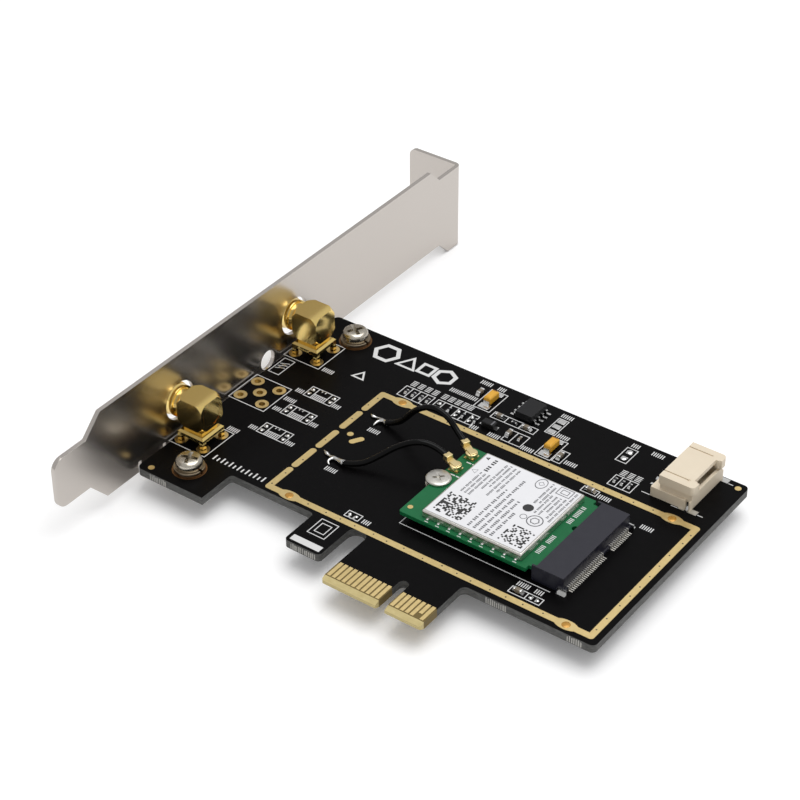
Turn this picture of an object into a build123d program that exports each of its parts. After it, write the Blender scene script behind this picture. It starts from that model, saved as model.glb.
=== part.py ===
from build123d import *
import math
import os

# PCI Express x1 wifi card: a half-height board with an M.2 radio module on a full-height bracket.
# Everything is drawn in the card's own frame and moved to the part's origin when it is saved.
# X is 0 at the centre of the key slot and grows toward the free end, away from the bracket.
# Y is 0 at the upper ends of the gold fingers and grows toward the bracket's screw flange.
# Z is 0 on the component face and grows up out of it.

# Circuit board outline
board_thickness = 1.57
board_left = 56.85
board_right = 33.8
board_top = 57.85
board_drop = 0.45
board_corner_r = 1.0
hook_left = 23.4
hook_right = 15.85
hook_drop = 0.75
hook_corner_r = 0.8
step_left = 41.85
step_rise = 7.6
step_corner_r = 0.8
tab_left = 12.15
tab_right = 8.15
tab_drop = 5.0
tab_corner_r = 0.5
tab_slot_rise = 8.85
right_edge_rise = 7.18
right_edge_corner_r = 1.2
key_width = 1.9
key_rise = 2.5
bevel_length = 1.2
bevel_depth = 0.47

# Copper on the board faces
copper = 0.05
finger_pitch = 1.0
finger_width = 0.7
finger_length = 3.8
finger_offset = 1.5
fingers_left_of_key = 11
fingers_right_of_key = 7
short_finger = 2.6
fence_width = 1.3
fence_left = -34.45
fence_right = 32.0
fence_bottom = 9.0
fence_top = 42.45
fence_pad_width = 2.3
fence_pad_length = 4.6
fence_hole = 0.9
fence_pads_left = -29.95
fence_pads_right = 27.25
round_end_share = 0.49
fence_gaps = [(36.98, 35.2), (30.3, 28.1), (23.3, 21.5), (16.4, 14.8)]

# Bracket
sheet = 0.86
bracket_gap = 0.8
bracket_width = 18.42
bracket_length = 120.02
flange_top = 100.65
flange_width = 18.5
flange_reach = 11.43
flange_corner_r = 1.5
bend_r = 0.4
bend_leg = 0.5
ear_drop = 2.97
ear_length = 7.45
high_edge_length = 10.55
tongue_width = 10.2
tongue_inset = 4.38
tongue_tip_r = 2.2
shoulder_start = 7.4
shoulder_end = 11.33
screw_notch_width = 4.42
screw_notch_depth = 5.6
screw_notch_from_plate = 6.35
mount_tab_width = 5.8
mount_tab_reach = 12.75
mount_tab_corner_r = 1.4
mount_tab_relief = 0.8
mount_tab_relief_rise = 2.2
mount_tab_places = [4.6, 53.25]
light_hole_d = 4.0
light_hole_y = 37.6
light_hole_z = 0.9

# Screws that hold the board to the bracket
screw_setback = 8.75
screw_d = 3.0
screw_head_d = 5.4
screw_head_height = 2.1
screw_head_edge_r = 0.7
screw_protrusion = 0.4
thread_clearance = 0.02
board_hole_d = 3.3
lock_washer_d = 5.7
lock_washer_thickness = 0.8
lock_washer_split = 0.5
ground_pad_d = 6.3

# Antenna jacks
jack_places = [12.9, 45.95]
jack_lifts = [0.0, 0.3]
spare_jack_place = 29.6
jack_setback = 4.5
jack_axis_z = 6.35
jack_cube = 5.7
jack_ball_d = 8.7
jack_leg = 0.85
jack_leg_pitch = 5.08
jack_leg_protrusion = 0.75
jack_base_z = 1.4
jack_base_thickness = 1.0
jack_base_slope = 0.4
jack_waist = 4.2
jack_neck_d = 5.2
jack_runout_d = 6.0
jack_runout_start = 0.5
jack_runout_end = 0.1
jack_barrel_d = 6.35
jack_barrel_length = 6.85
jack_barrel_chamfer = 0.35
jack_bore_d = 4.6
jack_bore_end = 1.6
jack_stem_bore_d = 2.6
jack_recess = 3.2
jack_contact_d = 1.27
jack_contact_tip_inset = 0.6
jack_contact_tip_r = 0.5
jack_stem_d = 0.9
jack_cap_d = 4.6
jack_cap_thickness = 0.35
jack_cap_gap = 0.05
jack_panel_hole_d = 7.6
panel_clearance = 0.15
plated_hole_d = 1.3
plated_ring_d = 2.55
solder_cone_gap = 0.15
solder_tip_d = 1.28

# M.2 module and its socket
module_left = -10.4
module_length = 30.0
module_width = 22.0
module_centre_y = 25.45
module_z = 1.6
module_thickness = 0.8
module_corner_r = 0.5
module_notch_r = 1.75
module_tongue_length = 4.0
module_tongue_width = 19.85
module_key_width = 1.2
module_key_depth = 3.5
module_key_y = 28.05
can_left_margin = 4.1
can_length = 20.4
can_width = 19.75
can_offset_y = -0.12
can_height = 1.45
can_wall = 0.2
can_edge_r = 0.35
label_margin = 0.45
label_thickness = 0.08
socket_insertion = 3.2
socket_depth = 6.6
socket_width = 20.8
socket_height = 3.2
socket_mouth_gap = 0.9
socket_mouth_back = 0.2
socket_mouth_side = 0.08
socket_roof_setback = 0.8
socket_rear_step = 0.3
socket_rear_ledge_z = 0.75
socket_peg_d = 1.1
socket_peg_length = 1.2
socket_peg_spacing = 18.0
socket_peg_clearance = 0.1
contact_pitch = 0.5
contact_width = 0.2
contact_thickness = 0.15
contact_foot = 0.8
contact_rows = [(16.3, 22), (29.3, 12)]
hold_down_length = 1.8
hold_down_width = 0.8
hold_down_height = 1.1
hold_down_thickness = 0.25
hold_down_x = 23.5
standoff_d = 4.6
standoff_boss_d = 3.3
standoff_boss_gap = 0.05
module_screw_x = -9.8
module_screw_d = 2.0
module_screw_head_d = 4.6
module_screw_head_height = 0.6
module_screw_head_edge = 0.15
module_screw_depth = 1.8

# Coaxial plugs and leads
receptacle_base = 2.0
receptacle_base_height = 0.2
receptacle_ring_d = 1.5
receptacle_height = 0.8
plug_d = 2.2
plug_skirt_z = 0.3
plug_top_z = 1.35
plug_barrel_d = 1.4
plug_tip_z = 1.55
plug_edge = 0.2
lead_d = 1.13
plug_upper = (-8.7, 33.9)
plug_upper_tip = (-11.2, 35.2)
plug_lower = (-9.0, 29.45)
plug_lower_tip = (-11.45, 30.1)
upper_lead_route = [
    (-13.2, 36.1, 4.6),
    (-15.7, 36.5, 6.9),
    (-19.0, 36.3, 7.7),
    (-22.1, 35.8, 6.0),
    (-24.2, 35.6, 3.2),
    (-26.0, 35.4, 1.4),
    (-28.2, 35.1, 0.7),
]
lower_lead_route = [
    (-13.7, 30.4, 4.7),
    (-16.8, 29.2, 5.3),
    (-20.0, 27.2, 4.0),
    (-22.6, 24.5, 1.9),
    (-24.7, 22.1, 0.8),
    (-27.4, 21.1, 0.7),
]
joint_d = 2.2
joint_height = 0.95
joint_edge_r = 0.6
core_joint_d = 1.8
core_joint_height = 0.75
core_d = 0.35
core_length = 3.0

# Ivory header
header_left = 20.8
header_length = 7.9
header_front = 45.8
header_width = 11.5
header_base_height = 2.0
header_front_wall_height = 2.9
header_cover_z = 3.4
header_top_z = 5.2
header_cover_inset = 1.5
header_slab_inset = 0.55
header_lobe_reach = 0.5
header_lobe_width = 1.9
header_wall = 0.6
header_floor = 0.7
header_roof = 0.8
header_groove_width = 0.25
header_groove_depth = 0.25
header_groove_inset = 1.6
header_corner_r = 0.8
header_pin = 0.5
header_pins = 4
header_pin_pitch = 2.0
header_pin_z = 1.5
header_pin_foot = 1.5
header_pin_foot_height = 0.3
header_pin_reach = 5.8
header_pin_clearance = 0.04
header_slot_width = 0.7
header_slot_inset = 0.3
header_tab_reach = 0.35
header_tab_thickness = 0.3
header_pad_length = 3.6
header_pad_width = 1.2
header_pad_overhang = 1.4

# Small parts on the board
tantalum_length = 3.2
tantalum_width = 1.6
tantalum_height = 1.6
tantalum_edge = 0.3
tantalum_strip = 0.15
tantalum_strip_width = 1.2
tantalum_places = [(-17.2, 52.6), (-0.45, 47.1)]
regulator_place = (-8.95, 53.2)
regulator_length = 4.9
regulator_width = 3.9
regulator_height = 1.6
regulator_standoff = 0.15
regulator_draft = 0.2
regulator_span = 6.2
regulator_lead_width = 0.42
regulator_lead_thickness = 0.2
regulator_lead_pitch = 1.27
regulator_leads = 4
diode_place = (-13.0, 45.8)
diode_length = 2.7
diode_width = 1.5
diode_height = 1.15
diode_edge = 0.15
diode_terminal = 0.5
diode_terminal_width = 1.0
diode_terminal_height = 0.25
large_chip = (1.6, 0.8, 0.75)
small_chip = (1.0, 0.5, 0.4)
ceramic_places = [
    ((2.3, 45.8), large_chip, "y"),
    ((-8.8, 46.0), large_chip, "y"),
    ((-6.4, 45.9), small_chip, "y"),
    ((-13.1, 49.2), large_chip, "x"),
    ((-7.2, 49.1), large_chip, "x"),
    ((16.4, 11.15), large_chip, "x"),
    ((11.75, 40.65), large_chip, "x"),
    ((-20.1, 53.3), large_chip, "y"),
]
resistor_row_y = 45.6
resistor_row = [-31.3, -29.7, -28.0, -26.5, -21.7, -18.6, -15.9]
resistor_trio_y = 45.75
resistor_trio = [13.8, 15.3, 16.8]
lone_resistor = (-9.9, 49.2)
jack_network_x = -43.25
jack_network_ys = [36.2, 29.4, 22.5]
jack_network_pad_xs = [-45.7, -40.8]
jack_network_pad_ys = [35.4, 28.6, 21.6]
empty_row = [-24.3, -20.1, -17.1]
large_empty_place = (11.65, 53.05)
small_empty_places = [(19.6, 11.15), (-17.6, 10.65)]
upright_empty_places = [(-55.0, 38.6)]
round_pad_d = 1.2
round_pads = [(-54.6, 0.9), (32.3, 56.35), (-32.0, 29.3)]
test_pad = (1.5, 1.1)
test_pads = [(-3.05, 54.5), (-3.05, 52.8), (-3.05, 51.1)]
oblong_pad = (2.9, 1.2)
oblong_pad_place = (-29.95, 28.45)
oblong_pad_turn = 59.0
chip_end_share = 0.22
pad_margin = 0.35

# Places worked out from the sizes above
board_bottom_z = -board_thickness
bracket_in = -board_left - bracket_gap
bracket_out = bracket_in - sheet
bracket_low = board_bottom_z - sheet
bracket_high = bracket_low + bracket_width
flange_low = bracket_low - ear_drop
flange_high = flange_low + flange_width
flange_end = bracket_out - flange_reach
tongue_tip = flange_top - bracket_length
bend_start = flange_top - sheet - bend_r
ear_start = flange_top - ear_length
high_edge_start = flange_top - high_edge_length
screw_x = bracket_in + screw_setback
jack_x = bracket_in + jack_setback
jack_half = jack_cube / 2
jack_mouth = bracket_in - jack_barrel_length
thread_start = bracket_out - jack_runout_end
module_right = module_left + module_length
module_top = module_z + module_thickness
socket_front = module_right - socket_insertion
socket_rear = socket_front + socket_depth
socket_low_y = module_centre_y - socket_width / 2
socket_high_y = module_centre_y + socket_width / 2
plug_tip_level = module_top + plug_tip_z
header_right = header_left + header_length
header_back = header_front + header_width
origin = Pos(
    -(flange_end + board_right) / 2,
    -(tongue_tip + flange_top) / 2,
    -flange_low,
)


# How a primitive stands on its own plane
from_corner = (Align.MIN, Align.MIN, Align.MIN)
upward = (Align.CENTER, Align.CENTER, Align.MIN)
downward = (Align.CENTER, Align.CENTER, Align.MAX)


def block(x0, x1, y0, y1, z0, z1):
    """A box between two corners"""
    return Pos(x0, y0, z0) * Box(x1 - x0, y1 - y0, z1 - z0, align=from_corner)


def rod(x, y, z0, z1, d):
    """An upright cylinder"""
    return Pos(x, y, z0) * Cylinder(d / 2, z1 - z0, align=upward)


def rod_x(x0, x1, y, z, d):
    """A cylinder along X"""
    return Pos(x0, y, z) * Rot(0, 90, 0) * Cylinder(d / 2, x1 - x0, align=upward)


def tube(x, y, z0, z1, outer_d, inner_d):
    """An upright ring"""
    return rod(x, y, z0, z1, outer_d) - rod(x, y, z0, z1, inner_d)


def polygon(*points):
    return make_face(Polyline(*points, close=True))


def along_x(profile, x0, x1):
    """A profile drawn in Y and Z, pulled out along X"""
    return extrude(Plane.YZ.offset(x0) * profile, amount=x1 - x0)


def along_y(profile, y0, y1):
    """A profile drawn in X and Z, pulled out along Y"""
    return extrude(Plane.XZ.offset(-y1) * profile, amount=y1 - y0)


def along_z(profile, z0, z1):
    """A profile drawn in X and Y, pulled out along Z"""
    return extrude(Plane.XY.offset(z0) * profile, amount=z1 - z0)


def rounded(sketch, points, radius):
    """The sketch with the corners nearest to the points rounded"""
    corners = [sketch.vertices().sort_by_distance((x, y, 0))[0] for x, y in points]
    return fillet(corners, radius)


def save(name, *solids):
    """One node, moved to the part's origin"""
    moved = [origin * solid for shape in solids for solid in shape.solids()]
    export_step(Compound(children=moved), f"parts/{name}.step")


# Circuit board
def board_outline():
    slot_r = (hook_right - tab_left) / 2
    slot_round = tab_slot_rise - slot_r
    key_round = key_rise - key_width / 2
    outer = [
        (-board_left, -board_drop), (-board_left, board_top),
        (board_right, board_top), (board_right, right_edge_rise),
    ]
    step = [(-step_left, step_rise), (-hook_left, step_rise)]
    hook = [(-hook_left, -hook_drop), (-hook_right, -hook_drop)]
    tab = [(-tab_left, -tab_drop), (tab_right, -tab_drop)]
    shoulder = (tab_right, right_edge_rise)
    outline = polygon(
        outer[0], (-step_left, -board_drop), *step, *hook,
        (-hook_right, slot_round), (-tab_left, slot_round), *tab, shoulder, outer[3], outer[2], outer[1],
    )
    outline = rounded(outline, outer, board_corner_r)
    outline = rounded(outline, step, step_corner_r)
    outline = rounded(outline, hook, hook_corner_r)
    outline = rounded(outline, tab, tab_corner_r)
    outline = rounded(outline, [shoulder], right_edge_corner_r)
    outline -= Pos(-(hook_right + tab_left) / 2, slot_round) * Circle(slot_r)
    outline -= Pos(0, (key_round - tab_drop) / 2) * Rectangle(key_width, key_round + tab_drop)
    return outline - Pos(0, key_round) * Circle(key_width / 2)


def fence_pads():
    """Centres of the four widened pads on the ground frame"""
    return [(x, y) for x in (fence_pads_left, fence_pads_right) for y in (fence_bottom, fence_top)]


def jack_holes():
    """Centres of the drilled holes of the three antenna footprints"""
    half = jack_leg_pitch / 2
    steps = [(-half, -half), (-half, half), (half, -half), (half, half), (0, 0)]
    return [(jack_x + dx, y + dy) for y in (*jack_places, spare_jack_place) for dx, dy in steps]


def socket_pegs():
    """Centres of the two pegs under the M.2 socket"""
    x = socket_front + socket_depth / 2
    return [(x, module_centre_y + side * socket_peg_spacing / 2) for side in (-1, 1)]


def circuit_board():
    body = along_z(board_outline(), board_bottom_z, 0)
    tip = -tab_drop
    upper = polygon((tip, -bevel_depth), (tip, 0), (tip + bevel_length, 0))
    under = board_bottom_z
    lower = polygon((tip, under), (tip, under + bevel_depth), (tip + bevel_length, under))
    body -= along_x(upper, -tab_left, tab_right) + along_x(lower, -tab_left, tab_right)
    for y in mount_tab_places:
        body -= rod(screw_x, y, board_bottom_z, 0, board_hole_d)
    for x, y in jack_holes():
        body -= rod(x, y, board_bottom_z, 0, plated_hole_d)
    for x, y in fence_pads():
        body -= rod(x, y, board_bottom_z, 0, fence_hole)
    for x, y in socket_pegs():
        body -= rod(x, y, board_bottom_z, 0, socket_peg_d + socket_peg_clearance)
    return body


# Copper
def fingers(z0, short_x):
    """One side's gold fingers, the short one first to part from a slot"""
    left = [-finger_offset - i * finger_pitch for i in range(fingers_left_of_key)]
    right = [finger_offset + i * finger_pitch for i in range(fingers_right_of_key)]
    half = finger_width / 2
    bars = []
    for x in left + right:
        length = short_finger if abs(x - short_x) < half else finger_length
        bars.append(block(x - half, x + half, -length, 0, z0, z0 + copper))
    return bars


def strip(x0, y0, x1, y1):
    """A straight band of the ground frame with round ends"""
    middle = ((x0 + x1) / 2, (y0 + y1) / 2)
    size = (abs(x1 - x0) + fence_width, abs(y1 - y0) + fence_width)
    return Pos(*middle) * RectangleRounded(*size, fence_width * round_end_share)


def ground_fence():
    frame = strip(fence_left, fence_top, fence_right, fence_top)
    frame += strip(fence_right, fence_bottom, fence_right, fence_top)
    frame += strip(fence_left, fence_bottom, fence_right, fence_bottom)
    frame += strip(fence_left, fence_gaps[0][0], fence_left, fence_top)
    frame += strip(fence_left, fence_bottom, fence_left, fence_gaps[-1][1])
    for x, y in fence_pads():
        frame += Pos(x, y) * Ellipse(fence_pad_length / 2, fence_pad_width / 2)
    for x, y in fence_pads():
        frame -= Pos(x, y) * Circle(fence_hole / 2)
    dashes = []
    for upper, lower in zip(fence_gaps[:-1], fence_gaps[1:]):
        dashes.append(strip(fence_left, lower[0], fence_left, upper[1]))
    return [along_z(piece, 0, copper) for piece in (frame, *dashes)]


def plated_rings():
    """A gold ring on each face round every antenna hole, joined by the plating in the hole"""
    rings = []
    for x, y in jack_holes():
        low, high = board_bottom_z - copper, copper
        flanges = rod(x, y, low, board_bottom_z, plated_ring_d) + rod(x, y, 0, high, plated_ring_d)
        barrel = rod(x, y, board_bottom_z, 0, plated_hole_d)
        rings.append(flanges + barrel - rod(x, y, low, high, plated_hole_d - 2 * copper))
    return rings


def screw_pads():
    return [tube(screw_x, y, 0, copper, ground_pad_d, board_hole_d) for y in mount_tab_places]


# Bracket
def bracket():
    plate = polygon(
        (tongue_tip, bracket_low + tongue_inset),
        (-shoulder_end, bracket_low + tongue_inset),
        (-shoulder_start, bracket_low),
        (ear_start, bracket_low),
        (ear_start + ear_drop, flange_low),
        (bend_start, flange_low),
        (bend_start, flange_high),
        (high_edge_start + bracket_high - flange_high, flange_high),
        (high_edge_start, bracket_high),
        (-shoulder_start, bracket_high),
        (-shoulder_end, bracket_low + tongue_inset + tongue_width),
        (tongue_tip, bracket_low + tongue_inset + tongue_width),
    )
    tips = [(tongue_tip, bracket_low + tongue_inset), (tongue_tip, bracket_low + tongue_inset + tongue_width)]
    body = along_x(rounded(plate, tips, tongue_tip_r), bracket_out, bracket_in)

    leg = bend_start - bend_leg
    angle = polygon(
        (bracket_in, leg), (bracket_in, flange_top), (flange_end, flange_top),
        (flange_end, flange_top - sheet), (bracket_out, flange_top - sheet), (bracket_out, leg),
    )
    angle = rounded(angle, [(bracket_in, flange_top)], bend_r + sheet)
    angle = rounded(angle, [(bracket_out, flange_top - sheet)], bend_r)
    flange = along_z(angle, flange_low, flange_high)
    corners = flange.edges().filter_by(Axis.Y).sort_by(Axis.X)[:2]
    flange = fillet(corners, flange_corner_r)
    notch_x = bracket_out - screw_notch_from_plate
    notch_r = screw_notch_width / 2
    round_z = flange_low + screw_notch_depth - notch_r
    notch = block(notch_x - notch_r, notch_x + notch_r, bend_start, flange_top, flange_low, round_z)
    turned = Pos(notch_x, flange_top, round_z) * Rot(90, 0, 0)
    round_end = turned * Cylinder(notch_r, sheet + bend_r, align=upward)
    body += flange - notch - round_end

    relief_half = mount_tab_width / 2 + mount_tab_relief
    relief_top = bracket_low + mount_tab_relief_rise
    tab_end = bracket_in + mount_tab_reach
    for y in mount_tab_places:
        body -= block(bracket_out, bracket_in, y - relief_half, y + relief_half, bracket_low, relief_top)
        foot = polygon(
            (bracket_out, relief_top), (bracket_out, bracket_low), (tab_end, bracket_low),
            (tab_end, bracket_low + sheet), (bracket_in, bracket_low + sheet), (bracket_in, relief_top),
        )
        foot = rounded(foot, [(bracket_out, bracket_low)], bend_r + sheet)
        foot = rounded(foot, [(bracket_in, bracket_low + sheet)], bend_r)
        tab = along_y(foot, y - mount_tab_width / 2, y + mount_tab_width / 2)
        tab = fillet(tab.edges().filter_by(Axis.Z).sort_by(Axis.X)[-2:], mount_tab_corner_r)
        body += tab
        body -= rod(screw_x, y, bracket_low, bracket_low + sheet, screw_d + thread_clearance)
    for y in jack_places:
        body -= rod_x(bracket_out, bracket_in, y, jack_axis_z, jack_panel_hole_d)
    return body - rod_x(bracket_out, bracket_in, light_hole_y, light_hole_z, light_hole_d)


def bracket_screw(y):
    seat = copper + lock_washer_thickness
    head = rod(screw_x, y, seat, seat + screw_head_height, screw_head_d)
    head = fillet(head.edges().sort_by(Axis.Z)[-1], screw_head_edge_r)
    return head + rod(screw_x, y, bracket_low - screw_protrusion, seat, screw_d)


def bracket_washer(y):
    seat = copper + lock_washer_thickness
    ring = tube(screw_x, y, copper, seat, lock_washer_d, screw_d + panel_clearance)
    half = lock_washer_split / 2
    return ring - block(screw_x, screw_x + lock_washer_d, y - half, y + half, copper, seat)


# Antenna jacks, each drawn at its own place along Y and its own height over the board
def jack_cavity(y, z):
    """The space inside a jack that its insulator fills, without the open mouth"""
    across = rod_x(jack_mouth + jack_recess, jack_x + jack_bore_end, y, z, jack_bore_d)
    return across + rod(jack_x, y, z - jack_axis_z + jack_base_z, z, jack_stem_bore_d)


def jack_contact(y, z):
    """The centre contact: a pin on the barrel's axis and a stem down through the board"""
    across = rod_x(jack_mouth + jack_contact_tip_inset, jack_x, y, z, jack_contact_d)
    end = Pos(jack_x, y, z) * Sphere(jack_contact_d / 2)
    tip = fillet(across.edges().sort_by(Axis.X)[0], jack_contact_tip_r)
    return tip + end + rod(jack_x, y, board_bottom_z - jack_leg_protrusion + z - jack_axis_z, z, jack_stem_d)


def jack_cap_seat(y, z, gap):
    face = jack_x + jack_half
    return rod_x(face - jack_cap_thickness, face, y, z, jack_cap_d - 2 * gap)


def jack_cube_body(y, z):
    """A cube with its corners turned off round"""
    ball = Pos(jack_x, y, z) * Sphere(jack_ball_d / 2)
    return ball & Pos(jack_x, y, z) * Box(jack_cube, jack_cube, jack_cube)


def jack_foot(y, low):
    """The square base with its bevelled top, the waist over it and the four legs"""
    base_top = low + jack_base_thickness
    base = jack_leg_pitch + jack_leg
    square = Pos(jack_x, y, low) * Box(base, base, jack_base_thickness, align=upward)
    foot = chamfer(square.faces().sort_by(Axis.Z)[-1].edges(), jack_base_slope)
    waist_top = low + jack_axis_z - jack_base_z - jack_half + jack_base_slope
    foot += Pos(jack_x, y, base_top) * Box(jack_waist, jack_waist, waist_top - base_top, align=upward)
    leg_end = board_bottom_z - jack_leg_protrusion + low - jack_base_z
    half = jack_leg_pitch / 2
    for dx, dy in [(-half, -half), (-half, half), (half, -half), (half, half)]:
        foot += Pos(jack_x + dx, y + dy, leg_end) * Box(jack_leg, jack_leg, low - leg_end, align=upward)
    return foot


def jack_body(y, z):
    body = jack_cube_body(y, z) + jack_foot(y, z - jack_axis_z + jack_base_z)
    runout = bracket_in + jack_runout_start
    body += rod_x(runout, jack_x, y, z, jack_neck_d)
    body += rod_x(thread_start, runout, y, z, jack_runout_d)
    barrel = rod_x(jack_mouth, thread_start, y, z, jack_barrel_d)
    body += chamfer(barrel.edges().sort_by(Axis.X)[0], jack_barrel_chamfer)
    mouth = rod_x(jack_mouth, jack_mouth + jack_recess, y, z, jack_bore_d)
    return body - mouth - jack_cavity(y, z) - jack_cap_seat(y, z, 0)


def antenna_solder():
    """A cone of solder under the board round each leg and centre contact of the fitted jacks"""
    pad = board_bottom_z - copper
    tip = board_bottom_z - jack_leg_protrusion + solder_cone_gap
    height = pad - tip
    wide = plated_ring_d / 2 - solder_cone_gap
    narrow = solder_tip_d / 2
    cones = []
    for y, lift in zip(jack_places, jack_lifts):
        metal = jack_body(y, jack_axis_z + lift) + jack_contact(y, jack_axis_z + lift)
        for x, hole_y in jack_holes():
            if abs(hole_y - y) < jack_leg_pitch:
                cone = Pos(x, hole_y, tip) * Cone(narrow, wide, height, align=upward)
                cones.append(cone - metal)
    return cones


# M.2 socket and module
def socket_housing():
    ledge = socket_rear - socket_rear_step
    body = block(socket_front, socket_rear, socket_low_y, socket_high_y, 0, socket_height)
    body -= block(ledge, socket_rear, socket_low_y, socket_high_y, socket_rear_ledge_z, socket_height)
    half = module_tongue_width / 2 + socket_mouth_side
    back = module_right + socket_mouth_back
    roof = module_z + socket_mouth_gap
    body -= block(socket_front, back, module_centre_y - half, module_centre_y + half, module_z, roof)
    open_end = socket_front + socket_roof_setback
    body -= block(socket_front, open_end, module_centre_y - half, module_centre_y + half, roof, socket_height)
    rib = module_key_width / 2 - socket_mouth_side
    rib_front = module_right - module_key_depth / 2
    body += block(rib_front, back, module_key_y - rib, module_key_y + rib, module_z, roof)
    for x, y in socket_pegs():
        body += rod(x, y, -socket_peg_length, 0, socket_peg_d)
    return body


def socket_contact(y):
    """A bent tail that lies on the socket's rear ledge and comes down to the board"""
    ledge = socket_rear - socket_rear_step
    top = socket_rear_ledge_z + contact_thickness
    knee = socket_rear + contact_thickness
    tail = polygon(
        (ledge, socket_rear_ledge_z), (socket_rear, socket_rear_ledge_z), (socket_rear, 0),
        (socket_rear + contact_foot, 0), (socket_rear + contact_foot, contact_thickness),
        (knee, contact_thickness), (knee, top), (ledge, top),
    )
    return along_y(tail, y - contact_width / 2, y + contact_width / 2)


def hold_down(side):
    """A tinned tab soldered beside one end of the socket"""
    y = socket_low_y if side < 0 else socket_high_y
    x0, x1 = hold_down_x - hold_down_length, hold_down_x
    foot = block(x0, x1, *sorted((y, y + side * hold_down_width)), 0, hold_down_thickness)
    return foot + block(x0, x1, *sorted((y, y + side * hold_down_thickness)), 0, hold_down_height)


def module_board():
    half = module_width / 2
    low, high = module_centre_y - half, module_centre_y + half
    tongue = module_tongue_width / 2
    tongue_start = module_right - module_tongue_length
    outline = polygon(
        (module_left, low), (tongue_start, low), (tongue_start, module_centre_y - tongue),
        (module_right, module_centre_y - tongue), (module_right, module_centre_y + tongue),
        (tongue_start, module_centre_y + tongue), (tongue_start, high), (module_left, high),
    )
    outline = rounded(outline, [(module_left, low), (module_left, high)], module_corner_r)
    outline -= Pos(module_screw_x, module_centre_y) * Circle(module_notch_r)
    mouth = (module_left + module_screw_x) / 2
    outline -= Pos(mouth, module_centre_y) * Rectangle(module_screw_x - module_left, 2 * module_notch_r)
    key = RectangleRounded(2 * module_key_depth, module_key_width, module_key_width * round_end_share)
    return along_z(outline - Pos(module_right, module_key_y) * key, module_z, module_top)


def can_box(margin):
    """Corners of the shield can in X and Y, drawn in by a margin"""
    left = module_left + can_left_margin
    middle = module_centre_y + can_offset_y
    half = can_width / 2 - margin
    return left + margin, left + can_length - margin, middle - half, middle + half


def shield_can():
    top = module_top + can_height
    shell = block(*can_box(0), module_top, top)
    shell = fillet(shell.edges().filter_by(Axis.Z), can_edge_r)
    shell = fillet(shell.faces().sort_by(Axis.Z)[-1].edges(), can_edge_r)
    return shell - block(*can_box(can_wall + can_edge_r / 2), module_top, top - can_wall)


def module_label():
    top = module_top + can_height
    return block(*can_box(label_margin), top, top + label_thickness)


def standoff():
    boss_top = module_top - standoff_boss_gap
    body = rod(module_screw_x, module_centre_y, 0, module_z, standoff_d)
    body += rod(module_screw_x, module_centre_y, module_z, boss_top, standoff_boss_d)
    return body - rod(module_screw_x, module_centre_y, 0, boss_top, module_screw_d + thread_clearance)


def module_screw():
    head_top = module_top + module_screw_head_height
    head = rod(module_screw_x, module_centre_y, module_top, head_top, module_screw_head_d)
    head = chamfer(head.edges().sort_by(Axis.Z)[-1], module_screw_head_edge)
    tip = module_top - module_screw_depth
    return head + rod(module_screw_x, module_centre_y, tip, module_top, module_screw_d)


# Coaxial plugs and leads
def receptacle(x, y):
    half = receptacle_base / 2
    base = block(x - half, x + half, y - half, y + half, module_top, module_top + receptacle_base_height)
    return base + rod(x, y, module_top, module_top + receptacle_height, receptacle_ring_d)


def plug_end(tip, route):
    """The plane at the plug's crimped end, facing out along the lead's first run"""
    start = Vector(*tip, plug_tip_level)
    return Plane(origin=start, z_dir=Vector(*route[0]) - start)


def coax_plug(place, tip, route):
    x, y = place
    skirt, top = module_top + plug_skirt_z, module_top + plug_top_z
    body = rod(x, y, skirt, top, plug_d)
    body = chamfer(body.edges().sort_by(Axis.Z)[-1], plug_edge)
    barrel = plug_end(tip, route) * Cylinder(plug_barrel_d / 2, math.dist(place, tip), align=downward)
    bore = rod(x, y, skirt, module_top + receptacle_height, receptacle_ring_d)
    return body + barrel - bore - receptacle(x, y)


def coax_lead(tip, route):
    """The lead's tube: straight runs joined by tangent arcs"""
    points = [Vector(*tip, plug_tip_level)] + [Vector(*p) for p in route]
    radii = []
    for before, here, after in zip(points, points[1:], points[2:]):
        turn = math.radians((here - before).get_angle(after - here))
        shorter = min((here - before).length, (after - here).length)
        radii.append(0.45 * shorter / math.tan(turn / 2))
    path = FilletPolyline(*points, radius=radii)
    section = plug_end(tip, route) * Circle(lead_d / 2)
    body = sweep(section, path=path)
    print("lead length", round(path.length, 2), "radii", [round(r, 1) for r in radii])
    print("volume over section times length", round(body.volume / (math.pi * lead_d**2 / 4 * path.length), 4))
    return body


def coax_joint(route, lead):
    """Solder over the lead's end and over the bare core's far end, with the core between"""
    x, y, z = route[-1]
    step = Vector(x - route[-2][0], y - route[-2][1], 0).normalized() * core_length
    mounds = []
    ends = [(0, 0, joint_height, joint_d), (step.X, step.Y, core_joint_height, core_joint_d)]
    for dx, dy, height, across in ends:
        mound = rod(x + dx, y + dy, 0, height, across)
        mounds.append(fillet(mound.edges().sort_by(Axis.Z)[-1], joint_edge_r))
    core_plane = Plane(origin=(x, y, core_joint_height / 2), z_dir=step)
    core = core_plane * Cylinder(core_d / 2, core_length, align=upward)
    return mounds[0] + mounds[1] + core - lead


# Ivory header
def header_pin_centres():
    first = header_front + header_width / 2 - header_pin_pitch * (header_pins - 1) / 2
    return [first + i * header_pin_pitch for i in range(header_pins)]


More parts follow.
